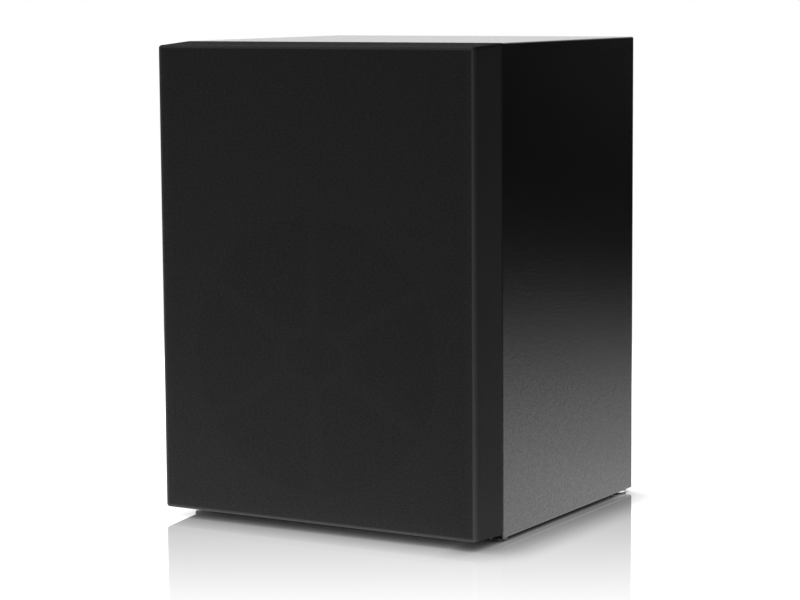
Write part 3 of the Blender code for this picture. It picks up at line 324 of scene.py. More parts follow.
def cloth_finish(c, s):
    """Plain weave on the piece's own unrolled map, with painted light: paler where the frame backs
    it, as if the frame showed through.

    It is painted paler too by the side and bottom edges, and carries a painted highlight along the
    front's edge, where it is stretched tight."""
    f = Finish(
        "grille_weave",
        c.cloth,
        0.92,
        Specular_IOR_Level=0.12,
        Sheen_Weight=0.12,
        Sheen_Roughness=0.35,
    )
    threads = f.node("UVMap", uv_map="thread").outputs[0]
    parts = f.node("SeparateXYZ")
    f.link(threads, parts.inputs[0])
    warp, weft = (f.wave(parts.outputs[way], 2 * s.thread) for way in (0, 1))
    height = f.math("ABSOLUTE", f.product(warp, weft))
    streak = f.node("Mapping")
    streak.inputs["Scale"].default_value = (420.0, 950.0, 1.0)
    f.link(threads, streak.inputs["Vector"])
    slub = f.noise(1.0, 2, 0.5, streak.outputs[0])
    # painted light: side and low mark where the cloth is painted paler, by its side edges and near
    # its bottom edge
    side = f.span(f.away(0), 0.0, 1.0, 112 * MM, 121 * MM, smooth=True)
    low = f.span(f.along(2), 1.0, 0.0, 7 * MM, 20 * MM, smooth=True)
    # painted highlight along the front's edge of the cloth
    painted_edge_highlight = f.node("Attribute", attribute_name="painted_edge_highlight").outputs["Fac"]
    shade = f.total(
        # painted light: the cloth is painted paler over the frame's plate, spokes and hub
        f.product(frame_behind(f, s), 0.16),
        f.product(f.math("MAXIMUM", side, low), 0.30),
        f.span(slub, -0.40, 0.40, 0.3, 0.7),
        f.product(height, 0.25),
        f.product(painted_edge_highlight, 5.0),
        0.2,
    )
    f.paint(shade, 0.83, 1.56)
    return f.bumps((height, 0.25 * MM), (slub, 0.22 * MM))


def moulding_finish(c):
    """Black plastic from a finely etched mould."""
    f = Finish("moulded_plastic", c.moulding, 0.48)
    grain = f.cells(1500)
    f.paint(f.noise(60), 0.85, 1.2)
    f.rough(f.noise(400), 0.42, 0.56)
    return f.bumps((grain, 0.08 * MM))


def pad_finish():
    """Clear soft polyurethane."""
    f = Finish("clear_pad", (0.93, 0.94, 0.93), 0.12, IOR=1.49, Transmission_Weight=0.9)
    f.rough(f.noise(700), 0.08, 0.22)
    return f.bumps((f.noise(500), 0.04 * MM))


def steel_finish(c):
    """Semi-gloss paint with a slight peel."""
    f = Finish("painted_steel", c.steel, 0.34)
    peel = f.noise(520, 2)
    f.paint(f.noise(80), 0.85, 1.25)
    f.rough(peel, 0.28, 0.42)
    return f.bumps((peel, 0.05 * MM))


def rings_finish(name, base, roughness, metallic, pitch, depth):
    """Metal with the fine rings that turning or winding leaves, along Y."""
    f = Finish(name, base, roughness, metallic)
    spots = f.noise(300)
    f.paint(spots, 0.82, 1.12)
    f.rough(spots, roughness * 0.8, roughness * 1.35)
    return f.bumps((f.wave(f.along(1), pitch), depth))


def plain_finish(name, base, low, high, scale, depth, metallic=0.0, tint=(0.85, 1.15)):
    """Even stuff with a mottle of one scale in its colour, gloss and surface."""
    f = Finish(name, base, (low + high) / 2, metallic)
    mottle = f.noise(scale, 4)
    f.paint(mottle, *tint)
    f.rough(mottle, low, high)
    return f.bumps((mottle, depth))


def paper_finish(c):
    """Pressed pulp: fibres, a soft mottle and a matt coat."""
    f = Finish("pressed_paper", c.paper, 0.70)
    fibre = f.noise(1500, 5, 0.7)
    clump = f.noise(240, 3)
    f.paint(fibre, 0.6, 1.5)
    f.rough(clump, 0.58, 0.80)
    return f.bumps((clump, 0.18 * MM), (fibre, 0.12 * MM))


def weave_finish(name, base, pitch, roughness, depth, **sockets):
    """Fine cloth that faces along Y: |sin x sin z| for its knots."""
    f = Finish(name, base, roughness, **sockets)
    warp, weft = (f.wave(f.along(axis), 2 * pitch) for axis in (0, 2))
    knot = f.math("ABSOLUTE", f.product(warp, weft))
    f.paint(knot, 0.7, 1.2)
    f.rough(knot, roughness * 0.85, min(1.0, roughness * 1.1))
    return f.bumps((knot, depth))


def circuit_finish(c):
    """Solder mask over tracks: two slow waves cut to bands, raised a little."""
    f = Finish("circuit_board", c.green, 0.38)
    waves = f.total(f.wave(f.along(0), 7 * MM), f.wave(f.along(1), 19 * MM))
    track = f.span(waves, 0.0, 1.0, 0.1, 0.3)
    f.paint(track, 0.8, 1.7)
    f.rough(f.noise(200), 0.30, 0.46)
    return f.bumps((track, 0.05 * MM))


def fleece_finish(c):
    """White fluff with a soft sheen."""
    f = Finish("polyester_fleece", c.white, 0.95, Sheen_Weight=0.4)
    fluff = f.noise(160, 6, 0.7)
    f.paint(fluff, 0.72, 1.08)
    f.rough(fluff, 0.88, 1.0)
    return f.bumps((fluff, 1.2 * MM), (f.noise(1200, 3), 0.3 * MM))


def make_finishes(sizes):
    """One finish for each of the record's material slots."""
    c = bpy.context.scene.speaker_colours
    black_zinc = (0.045, 0.045, 0.047)
    FINISHES.update({
        "cabinet_vinyl": vinyl_finish(c),
        "baffle_board": board_finish(c),
        "grille_cloth": cloth_finish(c, sizes),
        "moulded_abs": moulding_finish(c),
        "clear_pad": pad_finish(),
        "black_steel": steel_finish(c),
        "zinc_steel": rings_finish("zinc_plated", c.zinc, 0.34, 1.0, 0.35 * MM, 0.01 * MM),
        "black_screw": plain_finish(
            "blackened_screw", black_zinc, 0.28, 0.42, 800, 0.02 * MM, metallic=0.85
        ),
        "ferrite": plain_finish("sintered_ferrite", c.ferrite, 0.55, 0.75, 900, 0.08 * MM),
        "black_rubber": plain_finish("butyl_rubber", c.rubber, 0.50, 0.66, 700, 0.05 * MM),
        "cone_paper": paper_finish(c),
        "copper_winding": rings_finish("copper_winding", c.copper, 0.30, 1.0, 0.5 * MM, 0.12 * MM),
        "former_film": plain_finish("former_film", c.amber, 0.25, 0.40, 300, 0.02 * MM),
        "spider_cloth": weave_finish("spider_weave", c.amber, 0.9 * MM, 0.85, 0.15 * MM),
        "silk_dome": weave_finish(
            "silk_weave", c.silk, 0.30 * MM, 0.50, 0.03 * MM, Coat_Weight=0.25
        ),
        "gold_plate": plain_finish(
            "gold_plate", c.gold, 0.16, 0.28, 500, 0.01 * MM, metallic=1.0, tint=(0.92, 1.05)
        ),
        "knob_red": plain_finish("knob_red", c.red, 0.28, 0.38, 600, 0.03 * MM),
        "knob_black": plain_finish("knob_black", c.moulding, 0.28, 0.40, 600, 0.03 * MM),
        "circuit_board": circuit_finish(c),
        "capacitor_film": rings_finish("capacitor_wrap", c.yellow, 0.38, 0.0, 2.4 * MM, 0.03 * MM),
        "wadding_fleece": fleece_finish(c),
        "lead_pvc": plain_finish("lead_sleeve", c.red, 0.36, 0.50, 500, 0.03 * MM),
    })


# --- Meshes ---
def quads(rows, columns, close_columns):
    """Corner numbers of a grid's faces: the last row joins the first, and columns may too."""
    i = np.arange(rows)
    j = np.arange(columns if close_columns else columns - 1)
    i, j = np.meshgrid(i, j, indexing="ij")
    k, m = (i + 1) % rows, (j + 1) % columns
    corners = [i * columns + j, k * columns + j, k * columns + m, i * columns + m]
    return np.stack(corners, -1).reshape(-1, 4)


def surface(name, points, close_columns=False, cap=False, keep=None, unrolled=None):
    """A piece from a grid of points, closed all the way round along its rows.

    cap fills the last column's ring with one flat face, keep says which faces stay, and
    unrolled gives each point its place on the flat material. Doubles are merged, and faces are
    turned outwards."""
    rows, columns = points.shape[:2]
    faces = quads(rows, columns, close_columns)
    if keep is not None:
        faces = faces[keep.ravel()]
    faces = faces.tolist()
    if cap:
        faces.append((np.arange(rows) * columns + columns - 1).tolist())
    mesh = bpy.data.meshes.new(name)
    mesh.from_pydata(points.reshape(-1, 3).tolist(), [], faces)
    if unrolled is not None:
        corners = np.empty(len(mesh.loops), np.int32)
        mesh.loops.foreach_get("vertex_index", corners)
        layer = mesh.uv_layers.new(name="thread")
        layer.data.foreach_set("uv", unrolled.reshape(-1, 2)[corners].astype(np.float32).ravel())
    shape = bmesh.new()
    shape.from_mesh(mesh)
    bmesh.ops.remove_doubles(shape, verts=shape.verts, dist=WELD)
    bmesh.ops.dissolve_degenerate(shape, edges=shape.edges, dist=SLIVER)
    bmesh.ops.recalc_face_normals(shape, faces=shape.faces)
    shape.to_mesh(mesh)
    shape.free()
    mesh.shade_smooth()
    mesh.set_sharp_from_angle(angle=SHARP)
    made = bpy.data.objects.new(name, mesh)
    bpy.context.scene.collection.objects.link(made)
    return made


def stands_for(piece, *nodes):
    """Give a piece the finish, the body and the slot of the nodes that it replaces."""
    slot = SLOT_OF[nodes[0]]
    piece.data.materials.append(FINISHES[slot].material)
    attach(piece, BODY_OF[nodes[0]])
    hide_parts(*nodes)
    weighted = piece.modifiers.new("even normals", "WEIGHTED_NORMAL")
    weighted.keep_sharp = True
    return piece


def eased(line, radius, closed=True):
    """Round the corners of a line of (radius, height) points.

    Each corner P becomes a curve (1-t)^2 S + 2t(1-t) P + t^2 E, where S and E lie up to the radius
    before and after it. A line that ends on the axis is eased against its own mirror image."""
    p = np.asarray(line, float)
    before, after = np.roll(p, 1, 0), np.roll(p, -1, 0)
    if not closed:
        before[0] = p[1] * (-1, 1)
        after[-1] = p[-2] * (-1, 1)

    def towards(q):
        way = q - p
        far = np.maximum(np.linalg.norm(way, axis=1, keepdims=True), 1e-9)
        return p + way / far * np.minimum(radius, 0.45 * far)

    t = np.linspace(0, 1, CORNER_POINTS)[:, None, None]
    curve = (1 - t) ** 2 * towards(before) + 2 * t * (1 - t) * p + t**2 * towards(after)
    curve = curve.transpose(1, 0, 2)
    if closed:
        return curve.reshape(-1, 2)
    half = CORNER_POINTS // 2
    return np.concatenate([curve[0, half:], curve[1:-1].reshape(-1, 2), curve[-1, : half + 1]])


def resampled(line, step, closed):
    """The same line with points an even step apart along it."""
    p = np.vstack([line, line[:1]]) if closed else line
    along = np.concatenate([[0], np.cumsum(np.linalg.norm(np.diff(p, axis=0), axis=1))])
    count = max(int(along[-1] / step), 8)
    at = np.linspace(0, along[-1], count + 1)[: count if closed else count + 1]
    return np.stack([np.interp(at, along, p[:, 0]), np.interp(at, along, p[:, 1])], -1)


def turned_grid(line, steps, centre, axis="Y", ripple=None):
    """Carry (r, h) points round an axis: across = r cos t, up = r sin t, along the axis = h.

    ripple takes the arrays r, h and t and gives them back changed."""
    t = np.linspace(0, TURN, steps, endpoint=False)[:, None]
    r, h = np.broadcast_arrays(line[:, 0], line[:, 1])
    r, h = r + 0 * t, h + 0 * t
    if ripple is not None:
        r, h = ripple(r, h, t + 0 * r)
    a, b = r * np.cos(t), r * np.sin(t)
    if axis == "Y":
        return np.stack([centre[0] + a, h, centre[2] + b], -1)
    return np.stack([centre[0] + a, centre[1] + b, h], -1)


def middle_of(node):
    """The middle of a node's box."""
    low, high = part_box(node)
    return (low + high) / 2


def section_of(node, axis="Y"):
    """(points, closed): the outline of a turned node in the half plane where x > 0.

    It walks the mesh edges that lie in the half plane, from end to end or all the way round."""
    mesh = frame["nodes"][node].data
    spots = np.empty(len(mesh.vertices) * 3, np.float32)
    mesh.vertices.foreach_get("co", spots)
    ends = np.empty(len(mesh.edges) * 2, np.int32)
    mesh.edges.foreach_get("vertices", ends)
    spots = spots.reshape(-1, 3).astype(float) - np.array(middle_of(node))
    ends = ends.reshape(-1, 2)
    order = (0, 2, 1) if axis == "Y" else (0, 1, 2)
    out, off, h = (spots[:, k] for k in order)
    h = h + middle_of(node)[order[2]]
    on = (np.abs(off) < HAIR) & (out > -HAIR)
    keys = np.stack([np.round(np.maximum(out, 0) / MM, 2), np.round(h / MM, 2)], -1)
    pairs = {tuple(sorted((tuple(keys[a]), tuple(keys[b])))) for a, b in ends[on[ends].all(1)]}
    near = {}
    for a, b in pairs:
        if a != b:
            near.setdefault(a, []).append(b)
            near.setdefault(b, []).append(a)
    tips = sorted(k for k in near if len(near[k]) == 1)
    here = max(tips, key=lambda k: k[1]) if tips else min(near)
    line, last = [here], None
    while True:
        ways = [k for k in near[here] if k != last and k not in line[1:]]
        ways = [k for k in ways if not (k == line[0] and len(line) < 3)]
        if not ways or ways[0] == line[0]:
            break
        last, here = here, ways[0]
        line.append(here)
    return np.array(line) * MM, not tips


def turned_piece(node, name, steps, ease, axis="Y", step=None, ripple=None):
    """A smooth turned piece on a node's own outline, its corners eased, as turned_grid says."""
    line, closed = section_of(node, axis)
    line = eased(line, ease, closed=closed)
    if step:
        line = resampled(line, step, closed)
    points = turned_grid(line, steps, middle_of(node), axis, ripple)
    return stands_for(surface(name, points, close_columns=closed), node)


def ring_path(half_width, half_height, inset, corner, steps=6):
    """(x, z, outward x, outward z) round a rounded rectangle, drawn in by each inset.

    x = sx (half width - inset - c) + c cos t, and z in the same way with sin t. The corner radius
    c shrinks with the inset and stays above a small floor."""
    inset = np.asarray(inset, float)[None, :]
    c = np.maximum(corner - inset, 0.25 * MM)
    quarter, share = np.meshgrid(np.arange(4), np.linspace(0, 1, steps + 1), indexing="ij")
    t = ((quarter + share) * math.pi / 2).reshape(-1, 1)
    sx = np.array([1, -1, -1, 1])[quarter].reshape(-1, 1)
    sz = np.array([1, 1, -1, -1])[quarter].reshape(-1, 1)
    x = sx * (half_width - inset - c) + c * np.cos(t)
    z = sz * (half_height - inset - c) + c * np.sin(t)
    return x, z, np.cos(t) + 0 * x, np.sin(t) + 0 * z


def straighten(values, count):
    """Add even points along each side of a ring path, between its corners."""
    rows = len(values)
    corner = rows // 4
    parts = []
    for k in range(4):
        end = (k + 1) * corner
        parts.append(values[k * corner : end])
        first, last = values[end - 1], values[end % rows]
        share = np.linspace(0, 1, count + 2)[1:-1, None]
        parts.append(first * (1 - share) + last * share)
    return np.concatenate(parts)


# --- Places worked out from the nodes ---
WOOFER_Z = middle_of("woofer_gasket")[2]


# --- Pieces ---
def make_cabinet(s):
    """The wrapped box: a rounded wall section carried round a rounded rectangle.

    x and z are ring_path's with the section's first number for the inset, and y is its second."""
    low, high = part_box("top_panel")
    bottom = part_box("bottom_panel")[0]
    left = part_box("left_panel")[0]
    half_width, half_height = -left[0], (high[2] - bottom[2]) / 2
    centre_z = (high[2] + bottom[2]) / 2
    section = [(0.0, low[1]), (s.wall, low[1]), (s.wall, high[1]), (0.0, high[1])]
    line = eased(section, s.rim)
    x, z, _, _ = ring_path(half_width, half_height, line[:, 0], s.corner)
    points = np.stack([x, line[:, 1] + 0 * x, z + centre_z], -1)
    piece = surface("cabinet_wrap", points, close_columns=True)
    stands_for(piece, "left_panel", "right_panel", "top_panel", "bottom_panel")


def cloth_line(s, front, back, half_width):
    """(inset, y) points across the cloth, from its hem behind the frame to the front's middle."""
    hem = 4.6 * MM
    turned_in = [(hem, back - s.cloth_turn), (hem, back - 2.0 * MM)]
    fold = [(1.6, 1.0), (0.5, 0.15), (0.1, 0.6)]
    fold = [(inset * MM, back - ahead * MM) for inset, ahead in fold]
    wall = [(0.0, y) for y in np.linspace(back - 2 * MM, front + 4 * MM, 9)]
    bend = eased([(0.0, back), (0.0, front), (20 * MM, front)], s.cloth_edge, closed=False)
    bend = bend[(bend[:, 0] < 12 * MM) & (bend[:, 1] < front + 3.5 * MM)]
    insets = np.concatenate(
        [np.array([2.1, 2.8, 4.2, 7.0]) * MM, np.linspace(12 * MM, half_width - 4 * MM, 24)]
    )
    face = np.stack([insets, np.full(len(insets), front)], -1)
    return np.concatenate([turned_in, fold, wall, bend, face])


def make_cloth(s):
    """One sheet over the frame: rings out over the front, round its edge, back and turned in.

    x and z are ring_path's, drawn in by the draft towards the front, for each (inset, y) of
    cloth_line. A point d past the front's edge lies on the unrolled sheet at the edge point plus
    d times the outward way there."""
    low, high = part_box("grille_cloth")
    half_width, half_height = (high[0] - low[0]) / 2, (high[2] - low[2]) / 2
    centre_z = (high[2] + low[2]) / 2
    front, back = low[1], high[1]
    half = s.cloth / 2
    draft_x, draft_z = 1.3 * MM, 2.0 * MM
    line = cloth_line(s, front, back, half_width)
    inset, y = line[:, 0] + half, np.maximum(line[:, 1], front + half)
    x, z, wx, wz = ring_path(half_width, half_height, inset, s.cloth_corner, 5)
    x, z, wx, wz = (straighten(v, 26) for v in (x, z, wx, wz))
    share = np.clip((back - y) / (back - front), 0, 1)
    x = x * (1 - draft_x * share / half_width)
    z = z * (1 - draft_z * share / half_height)
    step = np.concatenate([[0], np.cumsum(np.hypot(np.diff(inset), np.diff(y)))])
    edge = int(np.argmax(y <= front + half + 1e-9))
    beyond = np.maximum(step[edge] - step, 0)
    flat = np.stack([x[:, edge : edge + 1] + wx * beyond, z[:, edge : edge + 1] + wz * beyond], -1)
    on_front = (np.arange(len(y)) >= edge)[None, :, None]
    flat = np.where(on_front, np.stack([x, z], -1), flat)
    points = np.stack([x, y + 0 * x, z + centre_z], -1)
    cloth = surface("grille_cloth_sheet", points, cap=True, unrolled=flat)
    # painted highlight along the front's edge of the cloth
    mark_painted_edge_highlight(cloth, s, front, half_width - 3 * MM, half_height - 4 * MM, centre_z)
    thick = cloth.modifiers.new("thickness", "SOLIDIFY")
    thick.thickness = s.cloth
    thick.offset = 0.0
    stands_for(cloth, "grille_cloth")


def mark_painted_edge_highlight(cloth, s, front, reach_x, reach_z, centre_z):
    """Note on each point how strongly the painted highlight shows: 1 on the front's edge, where
    the cloth is stretched tight, 0 off it.
    """
    spots = np.empty(len(cloth.data.vertices) * 3, np.float32)
    cloth.data.vertices.foreach_get("co", spots)
    x, y, z = spots.reshape(-1, 3).T
    ahead = np.clip(1 - np.abs(y - front - 0.6 * s.cloth_edge) / s.cloth_edge, 0, 1)
    at_edge = (np.abs(x) > reach_x) | (np.abs(z - centre_z) > reach_z)
    painted_edge_highlight = cloth.data.attributes.new("painted_edge_highlight", "FLOAT", "POINT")
    painted_edge_highlight.data.foreach_set("value", (ahead * at_edge).astype(np.float32))


def cross_recess(s, bottom, outward, spin):
    """A ripple that sinks a cross into a screw's head, above its bottom: two smooth bars."""
    arm, width, blur = 2.1 * MM, 0.55 * MM, 0.16 * MM

    def ramp(v):
        return 0.5 + 0.5 * np.tanh(v / blur)

    def change(r, h, t):
        a, b = r * np.cos(t + spin), r * np.sin(t + spin)
        bar = ramp(width - abs(a)) * ramp(arm - abs(b))
        other = ramp(width - abs(b)) * ramp(arm - abs(a))
        top = (h * outward > bottom) & (r < 3.2 * MM)
        return r, h - outward * top * s.recess * np.maximum(bar, other)

    return change


def make_screws(s):
    """Each screw on its node's outline, its cross turned to an angle of its own."""
    head = 1.6 * MM
    names = sorted(n for n in BODY_OF if "_screw_" in n)
    for number, node in enumerate(names):
        low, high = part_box(node)
        outward = 1 if node.startswith("terminal") else -1
        face = high[1] if outward > 0 else -low[1]
        ripple = cross_recess(s, face - head, outward, number * 0.7)
        turned_piece(node, f"{node}_cross_head", 56, 0.5 * MM, step=0.24 * MM, ripple=ripple)


def make_turned(s):
    """Every other round piece, on its node's own outline: (node, facets, corner easing)."""
    full, half = s.facets, s.facets // 2
    table = [
        ("woofer_gasket", full, 0.8),
        ("woofer_surround", full, 1.3),
        ("woofer_cone", full, 5.0),
        ("woofer_dust_cap", full, 4.0),
        ("woofer_former", half, 0.1),
        ("woofer_voice_coil", half, 0.2),
        ("woofer_spider", full, 1.2),
        ("woofer_top_plate", half, 0.6),
        ("woofer_magnet", half, 1.2),
        ("woofer_yoke", half, 0.6),
        ("tweeter_faceplate", full, 0.8),
        ("tweeter_dome", full, 2.6),
        ("tweeter_surround", full, 0.6),
        ("tweeter_voice_coil", half, 0.2),
        ("tweeter_top_plate", half, 0.5),
        ("tweeter_magnet", half, 1.0),
        ("tweeter_yoke", half, 0.6),
        ("port_tube", full, 3.0),
        ("crossover_capacitor", half, 2.2),
    ]
    table += [(f"peg_cup_{i}", half, 0.5) for i in (1, 2, 3, 4)]
    for node, facets, ease in table:
        piece = turned_piece(node, f"{node}_turned", facets, ease * MM)
        if node == "woofer_spider":
            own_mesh(piece)
    for node in sorted(n for n in BODY_OF if n.startswith("foot_")):
        turned_piece(node, f"{node}_pad", half, 0.8 * MM, axis="Z")


def make_inductor():
    """The coil on the board: its outer wall ripples once for each layer of wire."""
    node = "crossover_inductor"
    wire = 1.3 * MM
    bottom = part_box(node)[0][2]

    def wires(r, h, t):
        swell = np.abs(np.sin(math.pi * (h - bottom) / wire))
        outside = np.clip((r - 12 * MM) / (6 * MM), 0, 1)
        return r - 0.5 * MM * (1 - swell) * outside, h

    turned_piece(node, f"{node}_wound", 72, 1.5 * MM, "Z", 0.3 * MM, wires)


def make_posts(s):
    """Studs with a thread, knurled collars and fluted knobs: each a ripple of its radius."""
    pitch, thread_depth, thread_radius = 0.8 * MM, 0.22 * MM, 3.05 * MM
    ridges, ridge_depth = 44, 0.12 * MM
    flute_count = 12

    def thread(r, h, t):
        shaft = np.clip((thread_radius - r) / (0.1 * MM), 0, 1) * (r > 2.5 * MM)
        return r - thread_depth * shaft * (0.5 + 0.5 * np.cos(TURN * h / pitch + t)), h

    def knurl(r, h, t):
        return r - ridge_depth * (r > 5.2 * MM) * (0.5 + 0.5 * np.cos(ridges * t)), h

    def flutes(r, h, t):
        hollow = (0.5 + 0.5 * np.cos(flute_count * t)) ** 2
        return r - s.flute * hollow * np.clip((r - 4.5 * MM) / MM, 0, 1), h

    for side in ("red", "black"):
        stud = f"post_stud_{side}"
        turned_piece(stud, f"post_{side}_stud", 40, 0.3 * MM, "Y", 0.14 * MM, thread)
        collar = f"post_collar_{side}"
        turned_piece(collar, f"post_{side}_collar", 176, 0.25 * MM, "Y", 0.2 * MM, knurl)
        node = f"post_knob_{side}"
        low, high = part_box(node)
        bore, rim, step = 3.35 * MM, (high[0] - low[0]) / 2, 0.9 * MM
        outline = [
            (bore, low[1]),
            (rim - 0.6 * MM, low[1]),
            (rim, low[1] + step),
            (rim, high[1] - 2 * step),
            (rim - 1.5 * MM, high[1]),
            (bore + step, high[1]),
            (bore, high[1] - 1.4 * MM),
        ]
        line = resampled(eased(outline, 1.0 * MM), 0.3 * MM, True)
        points = turned_grid(line, 144, middle_of(node), "Y", flutes)
        stands_for(surface(f"post_{side}_knob", points, close_columns=True), node)


def make_terminal_cup(s):
    """A dish: a flat border, a rounded lip, sloping walls, a floor with a rounded foot.

    x and z are ring_path's with the profile's first number for the inset, and y is its second."""
    low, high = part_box("terminal_cup")
    half_width, half_height = (high[0] - low[0]) / 2, (high[2] - low[2]) / 2
    centre = middle_of("terminal_cup")
    lip = s.border + s.shell
    foot = lip + 5 * MM
    floor_y = low[1] + s.shell
    profile = [
        (0.0, high[1] - s.shell),
        (0.0, high[1]),
        (lip, high[1]),
        (foot, floor_y),
        (foot + 14 * MM, floor_y),
    ]
    corners = eased(profile, 1.6 * MM)[CORNER_POINTS:-CORNER_POINTS]
    line = np.vstack([profile[:1], corners, profile[-1:]])
    x, z, _, _ = ring_path(half_width, half_height, line[:, 0], 6 * MM)
    points = np.stack([x + centre[0], line[:, 1] + 0 * x, z + centre[2]], -1)
    cup = surface("terminal_cup_moulded", points, cap=True)
    outward = sum(face.normal.y * face.area for face in cup.data.polygons)
    if outward < 0:
        cup.data.flip_normals()
    wall = cup.modifiers.new("wall", "SOLIDIFY")
    wall.thickness = s.shell - 0.1 * MM
    wall.offset = -1.0
    stands_for(cup, "terminal_cup")


def make_basket():
    """The pressed basket: its line turned round, with a window between each two ribs.

    A face is dropped where it is low enough on the wall and within the window's half angle."""
    steel = 1.2 * MM
    low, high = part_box("woofer_basket")
    front, rim = low[1], (high[0] - low[0]) / 2
    edge = [(rim, 1.5), (rim, 0.6), (rim - 0.8 * MM, 0.0)]
    bowl = [
        (75.0, 0.0),
        (73.9, 1.0),
        (73.4, 2.4),
        (70.5, 14.0),
        (66.0, 26.0),
        (64.5, 29.0),
        (57.5, 35.4),
        (56.0, 36.0),
        (48.5, 36.2),
        (47.6, 37.5),
        (44.6, 53.5),
        (43.0, 55.2),
        (15.3, 55.4),
    ]
    marks = edge + [(r * MM, depth) for r, depth in bowl]
    line = np.array([(r, front + depth * MM + steel / 2) for r, depth in marks])
    steps = 180
    t = np.linspace(0, TURN, steps, endpoint=False) + math.pi / steps
    middle_y = (line[:-1, 1] + line[1:, 1]) / 2
    wall = (middle_y > front + 9 * MM) & (middle_y < front + 31 * MM)
    half_step = TURN / SPOKES / 2
    around = np.abs((t + half_step) % (2 * half_step) - half_step) < math.radians(15)
    keep = ~(around[:, None] & wall[None, :])
    points = turned_grid(line, steps, middle_of("woofer_basket"))
    basket = surface("woofer_basket_pressed", points, keep=keep)
    thick = basket.modifiers.new("sheet steel", "SOLIDIFY")
    thick.thickness = steel
    thick.offset = 0.0
    stands_for(basket, "woofer_basket")


def make_wadding():
    """A puffed pad: a squared-off ball with slow swells.

    x = a |cos u|^e cos^f v, y = b |sin u|^e cos^f v and z = c |sin v|^g, each with its sign."""
    e, f, g = 0.35, 0.45, 0.55
    low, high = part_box("wadding")
    centre, half = np.array((low + high) / 2), np.array((high - low) / 2)
    u = np.linspace(0, TURN, 120, endpoint=False)[:, None]
    v = np.linspace(-math.pi / 2, math.pi / 2, 48)[None, :]

    def squared(value, power):
        return np.sign(value) * np.abs(value) ** power

    x = squared(np.cos(u), e) * np.cos(v) ** f
    y = squared(np.sin(u), e) * np.cos(v) ** f
    z = squared(np.sin(v), g) + 0 * u
    swell = 1 - 0.05 * (1 + np.sin(7 * x + 2 * z) * np.cos(5 * y + x))
    points = centre + np.stack([x, y, z], -1) * half * swell[..., None]
    pad = surface("wadding_pad", points)
    stands_for(pad, "wadding")


PLAIN_NODES = (
    "front_baffle",
    "rear_panel",
    "grille_frame",
    "woofer_terminal_strip",
    "crossover_board",
    "woofer_lead",
)


def finish_boards():
    """The nodes whose own shape is right take their finish straight on."""
    for node in PLAIN_NODES:
        data = frame["nodes"][node].data
        data.materials.clear()
        data.materials.append(FINISHES[SLOT_OF[node]].material)


# --- Studio ---
CAMERA = {
    "place": (0.89356, -1.52118, 0.36274),
    "turn": 30.479,
    "down": 7.043,
    "roll": -0.397,
    "lens": 114.192,
}
TOWARDS_CAMERA = (0.507, -0.862)
FOOTPRINT = (0.12, 0.11)  # half the width and depth that the feet stand within
FLOOR_GLOW = 1.85
FLOOR_RADIUS = 4.0
TABLE_MIDDLE_Y = 0.05
TABLE_SIZE = (0.86, 0.66)  # radii of the oval at which the table fades out
CONTACT_REACH = 0.042  # how far from the object its shadow on the floor is seen
MIRROR_ROUGHNESS = 0.03


def make_camera():
    """The camera, from its turn about Z, its tilt downwards and its roll, in degrees."""
    a, b, c = (math.radians(CAMERA[k]) for k in ("turn", "down", "roll"))
    ahead = Vector((-math.sin(a) * math.cos(b), math.cos(a) * math.cos(b), -math.sin(b)))
    level = Vector((math.cos(a), math.sin(a), 0.0))
    top = level.cross(ahead)
    right = level * math.cos(c) + top * math.sin(c)
    upwards = top * math.cos(c) - level * math.sin(c)
    data = bpy.data.cameras.new("camera")
    data.lens = CAMERA["lens"]
    data.sensor_width = 36.0
    data.clip_end = 100.0
    camera = bpy.data.objects.new("camera", data)
    turn = Matrix((right, upwards, -ahead)).transposed()
    camera.matrix_world = Matrix.Translation(CAMERA["place"]) @ turn.to_4x4()
    bpy.context.scene.collection.objects.link(camera)
    bpy.context.scene.camera = camera


def floor_light(f, rays, shadow, darkness, gap):
    """The floor's own light: bright to the camera but for a painted contact shadow, less so to
    matt and to glossy surfaces.
    """
    bare = f.span(gap, 0.0, 1.0, 0.0, 0.006, smooth=True)
    near = f.span(gap, 1.0, 0.0, 0.08, 0.38, smooth=True)
    beside = f.span(f.away(0), 1.4, 2.2, 0.08, 0.25, smooth=True)
    rightwards = f.span(f.along(0), 1.0, 0.50, 0.10, 0.16)
    on_matt = f.product(near, bare, beside, rightwards)
    broad = f.span(gap, 1.38, 0.0, -0.30, 1.30, smooth=True)
    close = f.span(gap, 0.20, 0.0, 0.0, 0.20)
    distant = f.span(gap, 0.06, 0.0, 0.80, 2.30)
    on_gloss = f.product(f.total(broad, close, distant), bare)
    # painted contact shadow: the glow that the camera sees is darkened by occlusion near the
    # loudspeaker
    seen = f.product(f.math("POWER", shadow, darkness), FLOOR_GLOW)

    def either(ray, no, yes):
        pick = f.node("Mix", data_type="FLOAT")
        for value, number in ((rays[ray], 0), (no, 2), (yes, 3)):
            f.link(value, pick.inputs[number])
        return pick.outputs[0]

    glow = f.node("Emission")
    strength = either("Is Camera Ray", either("Is Diffuse Ray", on_gloss, on_matt), seen)
    f.link(strength, glow.inputs["Strength"])
    return glow


def floor_fade(f, rays, gap):
    """Share of the floor's mirror: for the camera alone, less with distance and from above."""
    forwards = f.total(*(f.product(f.along(axis), TOWARDS_CAMERA[axis]) for axis in (0, 1)))
    return f.product(
        f.span(forwards, 0.745, 0.0, 0.02, 0.78),
        f.span(forwards, 0.0, 1.0, -0.50, -0.18, smooth=True),
        f.span(gap, 1.0, 0.0, 0.30, 0.60, smooth=True),
        f.span(f.node("LayerWeight").outputs["Facing"], 0.0, 1.0, 0.30, 0.72, smooth=True),
        rays["Is Camera Ray"],
    )


